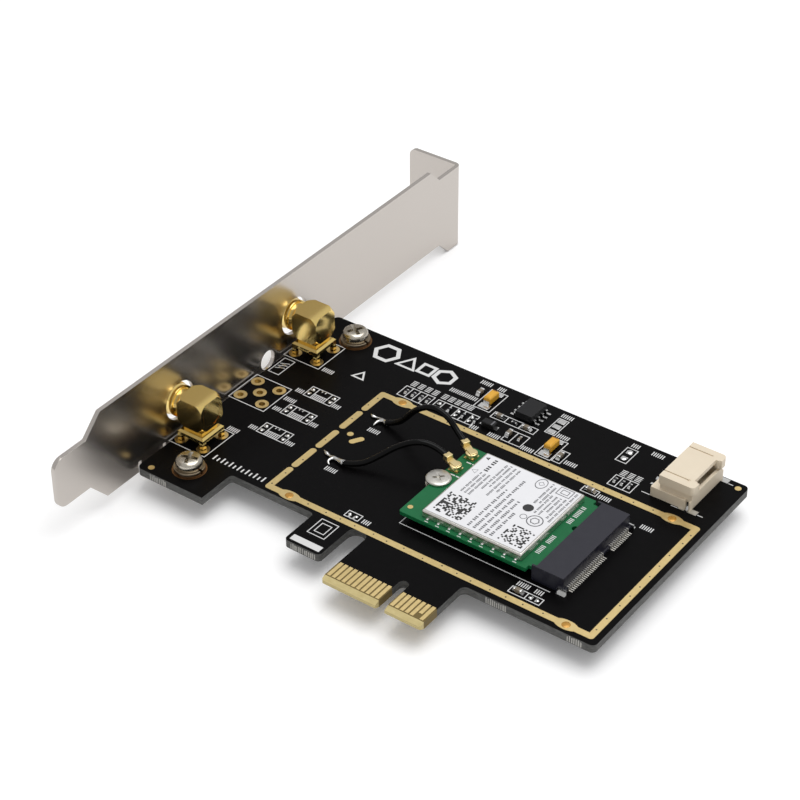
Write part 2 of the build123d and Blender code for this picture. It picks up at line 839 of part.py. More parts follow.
def header_housing():
    cover_left = header_left + header_cover_inset
    groove_end = header_right - header_cover_inset
    base = block(header_left, header_right, header_front, header_back, 0, header_base_height)
    slab_front, slab_back = header_front + header_slab_inset, header_back - header_slab_inset
    slab = block(cover_left, header_right, slab_front, slab_back, 0, header_front_wall_height)
    riser = block(cover_left, header_right - header_cover_inset, slab_front, slab_back, 0, header_cover_z)
    lobe_end = header_right + header_lobe_reach
    cover = block(cover_left, lobe_end, header_front, header_back, header_cover_z, header_top_z)
    cover = fillet(cover.edges().filter_by(Axis.Z).group_by(Axis.X)[-1], header_corner_r)
    cover -= block(
        header_right, lobe_end, header_front + header_lobe_width, header_back - header_lobe_width,
        header_cover_z, header_top_z,
    )
    body = base + slab + riser + cover
    inner_left, inner_right = cover_left + header_wall, header_right - header_wall
    inner_front, inner_back = slab_front + header_wall, slab_back - header_wall
    roof = header_top_z - header_roof
    body -= block(inner_left, inner_right, inner_front, inner_back, header_floor, roof)
    body -= block(groove_end, header_right, inner_front, inner_back, header_front_wall_height, header_cover_z)
    groove_floor = header_top_z - header_groove_depth
    for y in (header_front + header_groove_inset, header_back - header_groove_inset):
        body -= block(cover_left, groove_end, y, y + header_groove_width, groove_floor, header_top_z)
    slot_right = header_right - header_slot_inset
    for y0, y1 in ((header_front, header_front + header_wall), (header_back - header_wall, header_back)):
        body -= block(slot_right - header_slot_width, slot_right, y0, y1, 0, header_base_height)
    half = header_pin / 2 + header_pin_clearance / 2
    for y in header_pin_centres():
        body -= block(header_left, inner_left, y - half, y + half, header_pin_z - half, header_pin_z + half)
    return body


def header_pin_solid(y):
    half = header_pin / 2
    back, toe = header_left - header_pin, header_left - header_pin_foot
    tip = header_left + header_pin_reach
    low, high = header_pin_z - half, header_pin_z + half
    profile = polygon(
        (toe, 0), (header_left, 0), (header_left, low), (tip, low), (tip, high), (back, high),
        (back, header_pin_foot_height), (toe, header_pin_foot_height),
    )
    return along_y(profile, y - half, y + half)


def header_tab(side):
    """A tinned tab in the housing's side slot, bent out onto the board"""
    y = header_front + header_wall if side < 0 else header_back - header_wall
    out = header_front - header_tab_reach if side < 0 else header_back + header_tab_reach
    right = header_right - header_slot_inset - header_pin_clearance
    left = right - header_slot_width + 2 * header_pin_clearance
    inner = y + side * header_tab_thickness
    foot = block(left, right, *sorted((y, out)), 0, header_tab_thickness)
    return foot + block(left, right, *sorted((y, inner)), 0, header_base_height - header_tab_thickness)


# Small parts
def tantalum(x, y):
    """A moulded block with bevelled top edges, above its two end strips"""
    half_length, half_width = tantalum_length / 2 - tantalum_strip, tantalum_width / 2
    body = block(
        x - half_width, x + half_width, y - half_length, y + half_length, tantalum_strip, tantalum_height
    )
    return chamfer(body.faces().sort_by(Axis.Z)[-1].edges(), tantalum_edge)


def tantalum_strips(x, y):
    half = tantalum_strip_width / 2
    end = tantalum_length / 2
    strips = []
    for side in (-1, 1):
        tip, inner, toe = y + side * end, y + side * (end - tantalum_strip), y + side * end / 2
        foot = block(x - half, x + half, *sorted((toe, tip)), 0, tantalum_strip)
        wall = block(x - half, x + half, *sorted((inner, tip)), 0, tantalum_height / 2)
        strips.append(foot + wall)
    return strips


def regulator():
    x, y = regulator_place
    half_width, half_length = regulator_width / 2, regulator_length / 2
    middle = regulator_height / 2
    top = half_width - regulator_draft
    profile = polygon(
        (x - top, regulator_standoff), (x + top, regulator_standoff), (x + half_width, middle),
        (x + top, regulator_height), (x - top, regulator_height), (x - half_width, middle),
    )
    return along_y(profile, y - half_length, y + half_length)


def regulator_lead(side, y):
    x = regulator_place[0]
    root, toe = x + side * regulator_width / 2, x + side * regulator_span / 2
    middle, thick = regulator_height / 2, regulator_lead_thickness
    knee = root + side * thick * 2
    profile = polygon(
        (root, middle), (knee, middle), (knee, thick), (toe, thick), (toe, 0),
        (knee - side * thick, 0), (knee - side * thick, middle - thick), (root, middle),
    )
    half = regulator_lead_width / 2
    return along_y(profile, y - half, y + half)


def regulator_lead_set():
    first = regulator_place[1] - regulator_lead_pitch * (regulator_leads - 1) / 2
    rows = [first + i * regulator_lead_pitch for i in range(regulator_leads)]
    return [regulator_lead(side, y) for side in (-1, 1) for y in rows]


def chip(place, size, along, ends):
    """A chip part's middle, or its two end terminals, lying along X or Y"""
    x, y = place
    length, width, height = size
    cut = length * (0.5 - chip_end_share)
    spans = [(-length / 2, -cut), (cut, length / 2)] if ends else [(-cut, cut)]
    if along == "x":
        return [block(x + a, x + b, y - width / 2, y + width / 2, 0, height) for a, b in spans]
    return [block(x - width / 2, x + width / 2, y + a, y + b, 0, height) for a, b in spans]


def chip_resistors():
    row = [((x, resistor_row_y), small_chip, "y") for x in resistor_row]
    trio = [((x, resistor_trio_y), small_chip, "y") for x in resistor_trio]
    network = [((jack_network_x, y), small_chip, "x") for y in jack_network_ys]
    return row + trio + network + [(lone_resistor, small_chip, "x")]


def unfitted_parts():
    network = [((x, y), small_chip, "y") for y in jack_network_pad_ys for x in jack_network_pad_xs]
    row = [((x, resistor_row_y), small_chip, "y") for x in empty_row]
    flat = [(place, small_chip, "x") for place in small_empty_places]
    upright = [(place, small_chip, "y") for place in upright_empty_places]
    return network + row + flat + upright + [(large_empty_place, large_chip, "y")]


def empty_pads(place, size, along):
    """The two bare pads of a chip part that isn't fitted"""
    x, y = place
    length, width, _ = size
    reach, half = (length + pad_margin) / 2, (width + pad_margin) / 2
    toe = length * (0.5 - chip_end_share)
    if along == "x":
        return [block(x + a, x + b, y - half, y + half, 0, copper) for a, b in ((-reach, -toe), (toe, reach))]
    return [block(x - half, x + half, y + a, y + b, 0, copper) for a, b in ((-reach, -toe), (toe, reach))]


def diode():
    x, y = diode_place
    half_length, half_width = diode_length / 2, diode_width / 2
    body = block(x - half_length, x + half_length, y - half_width, y + half_width, copper, diode_height)
    return chamfer(body.faces().sort_by(Axis.Z)[-1].edges(), diode_edge)


def diode_terminals():
    x, y = diode_place
    half = diode_terminal_width / 2
    tips = []
    for side in (-1, 1):
        root = x + side * diode_length / 2
        span = sorted((root, root + side * diode_terminal))
        tips.append(block(*span, y - half, y + half, 0, diode_terminal_height))
    return tips


def header_land(side):
    """The bare ends of the tinned land under one of the header's solder tabs"""
    edge = header_front if side < 0 else header_back
    outer, inner = edge + side * header_tab_reach, edge - side * (header_pad_width - header_tab_reach)
    end = header_right + header_pad_overhang
    tip = block(header_right, end, *sorted((outer, inner)), 0, copper)
    beside = block(end - header_pad_length, header_right, *sorted((outer, edge)), 0, copper)
    return [tip + beside - header_tab(side)]


def bare_pads():
    """Tinned pads of parts that aren't fitted, test pads, an oblong pad and the round register marks"""
    pads = [pad for part in unfitted_parts() for pad in empty_pads(*part)]
    oblong = RectangleRounded(*oblong_pad, oblong_pad[1] * round_end_share)
    pads.append(along_z(Pos(*oblong_pad_place) * Rot(0, 0, oblong_pad_turn) * oblong, 0, copper))
    pads += [rod(x, y, 0, copper, round_pad_d) for x, y in round_pads]
    pads += header_land(-1) + header_land(1)
    half_length, half_width = test_pad[0] / 2, test_pad[1] / 2
    for x, y in test_pads:
        pads.append(block(x - half_length, x + half_length, y - half_width, y + half_width, 0, copper))
    return pads


os.makedirs("parts", exist_ok=True)
save("bracket", bracket())
save("bracket_screws", *[bracket_screw(y) for y in mount_tab_places])
save("bracket_screw_washers", *[bracket_washer(y) for y in mount_tab_places])
save("circuit_board", circuit_board())
short_right = finger_offset + (fingers_right_of_key - 2) * finger_pitch
short_left = -finger_offset - (fingers_left_of_key - 1) * finger_pitch
save("edge_contacts_component_side", *fingers(0, short_right))
save("edge_contacts_solder_side", *fingers(board_bottom_z - copper, short_left))
save("ground_fence_trace", *ground_fence())
save("plated_holes", *plated_rings())
save("screw_ground_pads", *screw_pads())
save("solder_pads", *bare_pads())

for name, y, lift in zip(("lower", "upper"), jack_places, jack_lifts):
    axis_z = jack_axis_z + lift
    contact = jack_contact(y, axis_z)
    save(f"{name}_jack_body", jack_body(y, axis_z))
    save(f"{name}_jack_rear_cap", jack_cap_seat(y, axis_z, jack_cap_gap))
    save(f"{name}_jack_insulator", jack_cavity(y, axis_z) - contact)
    save(f"{name}_jack_centre_contact", contact)
save("antenna_solder_joints", *antenna_solder())

save("m2_socket_housing", socket_housing())
tails = [y + i * contact_pitch for y, count in contact_rows for i in range(count)]
save("m2_socket_contacts", *[socket_contact(y) for y in tails])
save("m2_socket_hold_downs", hold_down(-1), hold_down(1))
save("wifi_module_board", module_board())
save("module_shield_can", shield_can())
save("module_label", module_label())
save("coax_receptacles", receptacle(*plug_upper), receptacle(*plug_lower))
save("module_standoff", standoff())
save("module_screw", module_screw())

upper_lead = coax_lead(plug_upper_tip, upper_lead_route)
lower_lead = coax_lead(plug_lower_tip, lower_lead_route)
save("coax_plug_upper", coax_plug(plug_upper, plug_upper_tip, upper_lead_route))
save("coax_plug_lower", coax_plug(plug_lower, plug_lower_tip, lower_lead_route))
save("coax_lead_upper", upper_lead)
save("coax_lead_lower", lower_lead)
save("coax_solder_joints", coax_joint(upper_lead_route, upper_lead), coax_joint(lower_lead_route, lower_lead))

save("header_housing", header_housing())
save("header_pins", *[header_pin_solid(y) for y in header_pin_centres()])
save("header_solder_tabs", header_tab(-1), header_tab(1))
save("tantalum_capacitors", *[tantalum(*place) for place in tantalum_places])
save("tantalum_terminals", *[strip for place in tantalum_places for strip in tantalum_strips(*place)])
save("regulator_body", regulator())
save("regulator_leads", *regulator_lead_set())
save("diode_body", diode())
save("diode_terminals", *diode_terminals())
resistors = chip_resistors()
save("ceramic_capacitors", *[piece for part in ceramic_places for piece in chip(*part, ends=False)])
save("chip_resistors", *[piece for part in resistors for piece in chip(*part, ends=False)])
save("chip_terminals", *[piece for part in ceramic_places + resistors for piece in chip(*part, ends=True)])
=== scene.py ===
import math
import random

import bmesh
import bpy
from mathutils import Euler, Matrix, Vector
from mathutils import noise as mathutils_noise


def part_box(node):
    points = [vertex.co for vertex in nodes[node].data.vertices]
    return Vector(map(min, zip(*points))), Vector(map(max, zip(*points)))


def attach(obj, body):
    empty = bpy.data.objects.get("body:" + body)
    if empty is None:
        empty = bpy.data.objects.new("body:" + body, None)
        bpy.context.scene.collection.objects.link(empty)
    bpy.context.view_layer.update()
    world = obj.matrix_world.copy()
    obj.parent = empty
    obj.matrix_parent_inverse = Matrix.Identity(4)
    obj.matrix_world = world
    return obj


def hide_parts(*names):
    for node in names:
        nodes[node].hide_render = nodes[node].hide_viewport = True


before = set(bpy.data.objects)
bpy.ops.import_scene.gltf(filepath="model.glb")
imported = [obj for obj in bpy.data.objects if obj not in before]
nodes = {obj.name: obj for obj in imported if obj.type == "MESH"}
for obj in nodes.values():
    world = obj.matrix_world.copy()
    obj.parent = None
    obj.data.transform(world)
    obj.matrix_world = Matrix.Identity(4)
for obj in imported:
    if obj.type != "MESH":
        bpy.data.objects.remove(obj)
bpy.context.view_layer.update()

# Camera. A long lens stands a little right of the edge connector and looks down along the card
# towards the screw flange, as for a catalogue picture.
camera = bpy.data.objects.new("camera", bpy.data.cameras.new("camera"))
camera.data.lens = 104.648
camera.data.sensor_width = 36
camera.data.clip_start = 0.01
camera.location = (0.19080532, -0.27468762, 0.25844008)
camera.rotation_euler = Euler(math.radians(a) for a in (53.64077683, 0.22666615, 36.15595136))
bpy.context.scene.collection.objects.link(camera)
bpy.context.scene.camera = camera
bpy.context.scene.view_settings.view_transform = "Standard"


# Studio. A white sheet lies under the card, a wide soft box hangs over it and the room is grey,
# so that the black board stays black and the metal still has something bright to show.
def material(name):
    """A new material, with its nodes, its links and its shader"""
    made = bpy.data.materials.new(name)
    made.use_nodes = True
    return made, made.node_tree.nodes, made.node_tree.links, made.node_tree.nodes["Principled BSDF"]


floor_paper, parts, link, shader = material("floor_paper")
shader.inputs["Base Color"].default_value = (0.95, 0.95, 0.95, 1)
shader.inputs["Roughness"].default_value = 0.9
shader.inputs["Specular IOR Level"].default_value = 0.0
shader.inputs["Emission Color"].default_value = (1, 1, 1, 1)
seen = parts.new("ShaderNodeLightPath")
lift = parts.new("ShaderNodeMath")
lift.operation = "MULTIPLY"
lift.inputs[1].default_value = 0.1
link.new(seen.outputs["Is Camera Ray"], lift.inputs[0])
link.new(lift.outputs[0], shader.inputs["Emission Strength"])
mesh = bpy.data.meshes.new("floor")
mesh.from_pydata([(-6, -6, 0), (6, -6, 0), (6, 6, 0), (-6, 6, 0)], [], [(0, 1, 2, 3)])
mesh.materials.append(floor_paper)
floor = bpy.data.objects.new("floor", mesh)
floor.location.z = -0.0002
bpy.context.scene.collection.objects.link(floor)

world = bpy.data.worlds.new("room")
bpy.context.scene.world = world
world.use_nodes = True
room_nodes, room_links = world.node_tree.nodes, world.node_tree.links
room_nodes.clear()
light_path = room_nodes.new("ShaderNodeLightPath")
room_light = room_nodes.new("ShaderNodeBackground")
room_light.inputs["Color"].default_value = (0.60, 0.60, 0.605, 1)
room_white = room_nodes.new("ShaderNodeBackground")
room_white.inputs["Color"].default_value = (1, 1, 1, 1)
room_mix = room_nodes.new("ShaderNodeMixShader")
room_out = room_nodes.new("ShaderNodeOutputWorld")
room_links.new(light_path.outputs["Is Camera Ray"], room_mix.inputs[0])
room_links.new(room_light.outputs[0], room_mix.inputs[1])
room_links.new(room_white.outputs[0], room_mix.inputs[2])
room_links.new(room_mix.outputs[0], room_out.inputs[0])


def soft_box(name, place, aim, width, height, watts):
    """A rectangular lamp that stands at a place and is turned towards another"""
    lamp = bpy.data.objects.new(name, bpy.data.lights.new(name, "AREA"))
    lamp.data.shape = "RECTANGLE"
    lamp.data.size = width
    lamp.data.size_y = height
    lamp.data.energy = watts
    lamp.location = place
    lamp.rotation_euler = (Vector(aim) - Vector(place)).to_track_quat("-Z", "Y").to_euler()
    bpy.context.scene.collection.objects.link(lamp)


soft_box("soft_box_above", (0.1, 0.15, 0.9), (0, 0.06, 0), 0.9, 0.7, 5.4)


# Bracket. One folded piece of nickel plated sheet steel with an even satin finish, from the tongue to
# the screw flange. It mirrors the jacks and the dark board softly.
def grain_group():
    """The slow and fast wander of colour and roughness that every finish of the card shares"""
    tree = bpy.data.node_groups.new("surface_grain", "ShaderNodeTree")
    sockets = tree.interface
    for name, kind in (("Scale", "Float"), ("Colour A", "Color"), ("Colour B", "Color"),
                       ("Rough Low", "Float"), ("Rough High", "Float")):
        sockets.new_socket(name=name, in_out="INPUT", socket_type="NodeSocket" + kind)
    for name, kind in (("Colour", "Color"), ("Roughness", "Float"), ("Height", "Float")):
        sockets.new_socket(name=name, in_out="OUTPUT", socket_type="NodeSocket" + kind)
    made, link = tree.nodes, tree.links.new
    start, end = made.new("NodeGroupInput"), made.new("NodeGroupOutput")
    where = made.new("ShaderNodeTexCoord")
    noise = made.new("ShaderNodeTexNoise")
    noise.inputs["Detail"].default_value = 4
    slow = made.new("ShaderNodeTexNoise")
    slow.inputs["Scale"].default_value = 60
    both = made.new("ShaderNodeMix")
    both.inputs["Factor"].default_value = 0.35
    colour = made.new("ShaderNodeMix")
    colour.data_type = "RGBA"
    rough = made.new("ShaderNodeMapRange")
    rough.inputs["From Min"].default_value = 0.3
    rough.inputs["From Max"].default_value = 0.7
    link(where.outputs["Object"], noise.inputs["Vector"])
    link(where.outputs["Object"], slow.inputs["Vector"])
    link(start.outputs["Scale"], noise.inputs["Scale"])
    link(noise.outputs[0], both.inputs[2])
    link(slow.outputs[0], both.inputs[3])
    link(both.outputs[0], colour.inputs["Factor"])
    link(start.outputs["Colour A"], colour.inputs[6])
    link(start.outputs["Colour B"], colour.inputs[7])
    link(both.outputs[0], rough.inputs["Value"])
    link(start.outputs["Rough Low"], rough.inputs["To Min"])
    link(start.outputs["Rough High"], rough.inputs["To Max"])
    link(colour.outputs[2], end.inputs["Colour"])
    link(rough.outputs[0], end.inputs["Roughness"])
    link(noise.outputs[0], end.inputs["Height"])
    return tree


surface_grain = grain_group()


def grain_node(parts, colour_a, colour_b, rough, scale):
    """The shared grain placed in one material with its own two ends"""
    grain = parts.new("ShaderNodeGroup")
    grain.node_tree = surface_grain
    grain.inputs["Scale"].default_value = scale
    grain.inputs["Colour A"].default_value = (*colour_a, 1)
    grain.inputs["Colour B"].default_value = (*colour_b, 1)
    grain.inputs["Rough Low"].default_value = rough[0]
    grain.inputs["Rough High"].default_value = rough[1]
    return grain


def grained(name, colour_a, colour_b, rough, metal=0.0, scale=900, relief=0.0, level=0.5):
    """A material whose colour and roughness wander between two ends, with a fine relief if asked"""
    made, parts, link, shader = material(name)
    grain = grain_node(parts, colour_a, colour_b, rough, scale)
    link.new(grain.outputs["Colour"], shader.inputs["Base Color"])
    link.new(grain.outputs["Roughness"], shader.inputs["Roughness"])
    shader.inputs["Metallic"].default_value = metal
    shader.inputs["Specular IOR Level"].default_value = level
    if relief:
        bump = parts.new("ShaderNodeBump")
        bump.inputs["Strength"].default_value = 0.4
        bump.inputs["Distance"].default_value = relief
        link.new(grain.outputs["Height"], bump.inputs["Height"])
        link.new(bump.outputs[0], shader.inputs["Normal"])
    return made


def dress(name, made):
    """Gives a CAD piece its material and leaves its mesh alone"""
    piece = nodes[name]
    piece.data.materials.clear()
    piece.data.materials.append(made)


def merged(name):
    """The solid's faces as one closed skin, with the flat ones joined up again"""
    bm = bmesh.new()
    bm.from_mesh(nodes[name].data)
    bmesh.ops.remove_doubles(bm, verts=bm.verts, dist=1e-6)
    bmesh.ops.dissolve_limit(bm, angle_limit=math.radians(0.6), verts=bm.verts, edges=bm.edges)
    return bm


def placed(mesh, name, made, slot_name, *stands_for, sharp=40):
    """Sets a finished mesh in the scene, with its large flats shaded flat up to their rounded edges"""
    mesh.materials.clear()
    mesh.materials.append(made)
    for polygon in mesh.polygons:
        polygon.use_smooth = True
        polygon.material_index = 0
    mesh.set_sharp_from_angle(angle=math.radians(sharp))
    mesh = baked(mesh, name, ("WEIGHTED_NORMAL", {"keep_sharp": True}))
    piece = bpy.data.objects.new(name, mesh)
    bpy.context.scene.collection.objects.link(piece)
    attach(piece, "root")
    if stands_for:
        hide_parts(*stands_for)
    return piece


def mesh_from(bm, name):
    """A named mesh of what was drawn in bm, which is freed"""
    mesh = bpy.data.meshes.new(name)
    bm.to_mesh(mesh)
    bm.free()
    return mesh


def baked(mesh, name, *changes):
    """The mesh with modifiers run and kept: each is (kind, {setting: value})"""
    holder = bpy.data.objects.new(name, mesh)
    bpy.context.scene.collection.objects.link(holder)
    for kind, settings in changes:
        change = holder.modifiers.new(kind, kind)
        for key, value in settings.items():
            setattr(change, key, value)
    bpy.context.view_layer.update()
    plain = bpy.data.meshes.new_from_object(holder.evaluated_get(bpy.context.evaluated_depsgraph_get()))
    plain.name = name
    bpy.data.objects.remove(holder)
    return plain


def edges_broken(mesh, name, width, steps=2):
    """The mesh with its sharp edges rounded over a width in millimetres"""
    settings = {"width": width / 1000, "segments": steps, "limit_method": "ANGLE",
                "angle_limit": math.radians(32)}
    return baked(mesh, name, ("BEVEL", settings))


def softened(name, node, width, made, slot_name, steps=2):
    """A CAD piece drawn again with rounded edges, in its place"""
    mesh = edges_broken(mesh_from(merged(node), name), name, width, steps)
    return placed(mesh, name, made, slot_name, node)


bracket_steel = grained("bracket_steel", (0.545, 0.505, 0.468), (0.58, 0.54, 0.502), (0.24, 0.27), 1.0,
                        scale=2600)
softened("folded_bracket", "bracket", 0.12, bracket_steel, "bracket_steel")


# Circuit board. Black solder mask over pale glass epoxy. The mask stops at the gold fingers, the
# epoxy is bare between and below them, and the milled edges are a speckled grey. Between the fingers
# the bare epoxy is darkened, partly its own darker tone and partly painted shade in the gaps.
def at(x, y, z=0.0):
    """A place in the card's own measure, millimetres from the key slot and the component face"""
    return Vector(((x + 18.07) / 1000, (y - 40.64) / 1000, (z + 5.4) / 1000))


board_mask, parts, link, shader = material("board_mask")


def worked_out(operation, value, other=None):
    """A math node on a value, with a number or a second value beside it"""
    node = parts.new("ShaderNodeMath")
    node.operation = operation
    link.new(value, node.inputs[0])
    if isinstance(other, float):
        node.inputs[1].default_value = other
    elif other:
        link.new(other, node.inputs[1])
    return node.outputs[0]


def colour_mix(factor, first, second):
    """A mix node between two ends, each a colour or the output of another node"""
    node = parts.new("ShaderNodeMix")
    node.data_type = "RGBA"
    link.new(factor, node.inputs["Factor"])
    for place, end in ((6, first), (7, second)):
        if isinstance(end, tuple):
            node.inputs[place].default_value = (*end, 1)
        else:
            link.new(end, node.inputs[place])
    return node.outputs[2]


grain = grain_node(parts, (0.0016, 0.0015, 0.0016), (0.0032, 0.0029, 0.0032), (0.26, 0.34), 700)
where, apart = parts.new("ShaderNodeTexCoord"), parts.new("ShaderNodeSeparateXYZ")
link.new(where.outputs["Object"], apart.inputs[0])
facing, split = parts.new("ShaderNodeNewGeometry"), parts.new("ShaderNodeSeparateXYZ")
link.new(facing.outputs["True Normal"], split.inputs[0])
fibre_map, fibre = parts.new("ShaderNodeMapping"), parts.new("ShaderNodeTexNoise")
fibre_map.inputs["Scale"].default_value = (1, 1, 5)
fibre.inputs["Scale"].default_value = 900
fibre.inputs["Detail"].default_value = 5
link.new(where.outputs["Object"], fibre_map.inputs["Vector"])
link.new(fibre_map.outputs[0], fibre.inputs["Vector"])
mask_edge, tab_left, bevel_top = -0.25, -12.6, -3.95
edge_zone = worked_out("LESS_THAN", worked_out("ABSOLUTE", split.outputs["Z"]), 0.5)
under_mask_edge = worked_out("LESS_THAN", apart.outputs["Y"], at(0, mask_edge).y)
right_of_tab_left = worked_out("GREATER_THAN", apart.outputs["X"], at(tab_left, 0).x)
tab_zone = worked_out("MULTIPLY", under_mask_edge, right_of_tab_left)
bevel_zone = worked_out("LESS_THAN", apart.outputs["Y"], at(0, bevel_top).y)
edge_grey = colour_mix(fibre.outputs[0], (0.018, 0.018, 0.017), (0.185, 0.185, 0.178))
epoxy = colour_mix(fibre.outputs[0], (0.46, 0.37, 0.16), (0.64, 0.54, 0.28))
# Between the fingers the epoxy is dark brown, partly its own tone and partly painted shade in the gaps; on
# the bevel it stays pale.
laminate_and_painted_shade = colour_mix(bevel_zone, (0.17, 0.125, 0.05), epoxy)
masked = colour_mix(edge_zone, grain.outputs["Colour"], edge_grey)
link.new(colour_mix(tab_zone, masked, laminate_and_painted_shade), shader.inputs["Base Color"])
link.new(grain.outputs["Roughness"], shader.inputs["Roughness"])
shader.inputs["Specular IOR Level"].default_value = 0.05
dress("circuit_board", board_mask)


# Torn tab marks. The board was snapped out of its panel, and the tabs that held it leave rows of
# small pale bites in the milled edges.
def prism(bm, corners, low, high, measure=at):
    """Adds a closed upright prism over the corners, given anticlockwise in card millimetres"""
    under = [bm.verts.new(measure(x, y, low)) for x, y in corners]
    over = [bm.verts.new(measure(x, y, high)) for x, y in corners]
    bm.faces.new(over)
    bm.faces.new(under[::-1])
    for i in range(len(corners)):
        j = (i + 1) % len(corners)
        bm.faces.new((under[i], under[j], over[j], over[i]))


def brick(bm, x0, x1, y0, y1, z0, z1, measure=at):
    """Adds a square block that fills the three spans"""
    prism(bm, [(x0, y0), (x1, y0), (x1, y1), (x0, y1)], z0, z1, measure)


torn_epoxy = grained("torn_epoxy", (0.20, 0.20, 0.19), (0.62, 0.60, 0.55), (0.7, 0.9), scale=2500)
bite_pitch, bite_floor, stands_out, goes_in = 0.42, -1.45, 0.012, 0.1
torn = bmesh.new()
random.seed(4)
for left, right, y in ((-53.8, -50.3, -0.45), (-22.0, -16.8, -0.75), (12.7, 16.7, 7.18), (28.6, 31.4, 7.18)):
    x = left
    while x < right:
        high = -0.12 - random.random() * 0.3
        wide = 0.16 + random.random() * 0.14
        brick(torn, x, x + wide, y - stands_out, y + goes_in, bite_floor, high)
        x += bite_pitch
placed(mesh_from(torn, "torn_tab_marks"), "torn_tab_marks", torn_epoxy, "board")


# Bare copper on the faces, gold plated and pale: fingers, the fence round the radio and drill rings.
# The rings under the bracket screws are painted dark brown for the shade of the heads and washers, and the
# pads for parts are tinned.
finger_gold = grained("finger_gold", (0.72, 0.545, 0.235), (0.80, 0.63, 0.31), (0.30, 0.42), 1.0, scale=1500,
                      relief=0.000004)
pad_gold = grained("pad_gold", (0.82, 0.61, 0.25), (0.90, 0.70, 0.33), (0.26, 0.38), 1.0, scale=1200)
for name in ("edge_contacts_component_side", "edge_contacts_solder_side", "ground_fence_trace"):
    dress(name, finger_gold)
dress("plated_holes", pad_gold)
# Painted shade: the rings round the bracket screws get a dark copper brown for the shade under the heads and
# washers.
painted_shade_copper = grained("painted_shade_copper", (0.13, 0.065, 0.03), (0.26, 0.14, 0.06), (0.35, 0.5), 1.0)
dress("screw_ground_pads", painted_shade_copper)
tinned = grained("tinned", (0.62, 0.62, 0.60), (0.78, 0.78, 0.76), (0.22, 0.38), 1.0, relief=0.00002)
gold_places = [at(-54.6, 0.9), at(32.3, 56.35), at(-32.0, 29.3), at(-29.95, 28.45)]
mark_reach = 0.0017


def near_gold_mark(face):
    """Whether a pad's face belongs to one of the marks that are gold plated"""
    return any((face.calc_center_median() - place).length < mark_reach for place in gold_places)


for name, kept_gold, made, slot_name in (("gold_marks", True, pad_gold, "gold"),
                                         ("tinned_pads", False, tinned, "solder")):
    bm = merged("solder_pads")
    bmesh.ops.delete(bm, geom=[f for f in bm.faces if near_gold_mark(f) != kept_gold], context="FACES")
    placed(mesh_from(bm, name), name, made, slot_name, "solder_pads")


# Vias. Small drilled holes stitch the gold fence to the ground under it, about three millimetres
# apart. The holes are not cut: each is a near black disc on the fence, painted shade for the dark
# inside of the hole. Resin fills the larger holes at the fence's four corners.
def repeated(name, item, places, made, slot_name):
    """One copy of a small mesh at each place, set out by a node tree and kept as a plain mesh"""
    tree = bpy.data.node_groups.new(name + "_set_out", "GeometryNodeTree")
    tree.is_modifier = True
    for label, direction, kind in (("Geometry", "INPUT", "Geometry"), ("Item", "INPUT", "Object"),
                                   ("Finish", "INPUT", "Material"), ("Geometry", "OUTPUT", "Geometry")):
        tree.interface.new_socket(name=label, in_out=direction, socket_type="NodeSocket" + kind)
    start, end = tree.nodes.new("NodeGroupInput"), tree.nodes.new("NodeGroupOutput")
    info = tree.nodes.new("GeometryNodeObjectInfo")
    spread = tree.nodes.new("GeometryNodeInstanceOnPoints")
    solid = tree.nodes.new("GeometryNodeRealizeInstances")
    paint = tree.nodes.new("GeometryNodeSetMaterial")
    join = tree.links.new
    join(start.outputs["Item"], info.inputs[0])
    join(start.outputs["Geometry"], spread.inputs["Points"])
    join(info.outputs["Geometry"], spread.inputs["Instance"])
    join(spread.outputs[0], solid.inputs[0])
    join(solid.outputs[0], paint.inputs["Geometry"])
    join(start.outputs["Finish"], paint.inputs["Material"])
    join(paint.outputs[0], end.inputs[0])
    points = bpy.data.meshes.new(name + "_points")
    points.from_pydata([tuple(p) for p in places], [], [])
    holder = bpy.data.objects.new(name + "_points", points)
    bpy.context.scene.collection.objects.link(holder)
    source = bpy.data.objects.new(name + "_item", item)
    bpy.context.scene.collection.objects.link(source)
    spreader = holder.modifiers.new("set_out", "NODES")
    spreader.node_group = tree
    keys = {s.name: s.identifier for s in tree.interface.items_tree if s.in_out == "INPUT"}
    spreader[keys["Item"]] = source
    spreader[keys["Finish"]] = made
    bpy.context.view_layer.update()
    graph = bpy.context.evaluated_depsgraph_get()
    plain = bpy.data.meshes.new_from_object(holder.evaluated_get(graph))
    plain.name = name
    bpy.data.objects.remove(holder)
    bpy.data.objects.remove(source)
    return placed(plain, name, made, slot_name)


def skinned(bm, rings, around):
    """Faces between rings of points, where a ring of one point closes an end"""
    for low, high in zip(rings, rings[1:]):
        for i in range(around):
            j = (i + 1) % around
            ring = [low[i % len(low)], low[j % len(low)], high[j % len(high)], high[i % len(high)]]
            bm.faces.new([v for k, v in enumerate(ring) if v not in ring[:k]])
    bmesh.ops.recalc_face_normals(bm, faces=bm.faces)


def turned(profile, segments):
    """Turned round Z from (radius, height) points in millimetres, on the axis at both ends"""
    bm = bmesh.new()
    rings = []
    for r, z in profile:
        if r == 0:
            rings.append([bm.verts.new((0, 0, z / 1000))])
            continue
        turn = [2 * math.pi * i / segments for i in range(segments)]
        rings.append([bm.verts.new((r * math.cos(a) / 1000, r * math.sin(a) / 1000, z / 1000)) for a in turn])
    skinned(bm, rings, segments)
    return mesh_from(bm, "turned")


# Painted shade: near black discs stand in for the dark inside of the via holes.
via_painted_shade = grained("via_painted_shade", (0.012, 0.009, 0.006), (0.03, 0.02, 0.012), (0.5, 0.7), scale=2000)
via_face, plug_face = 0.046, 0.05
via_places = []
random.seed(11)


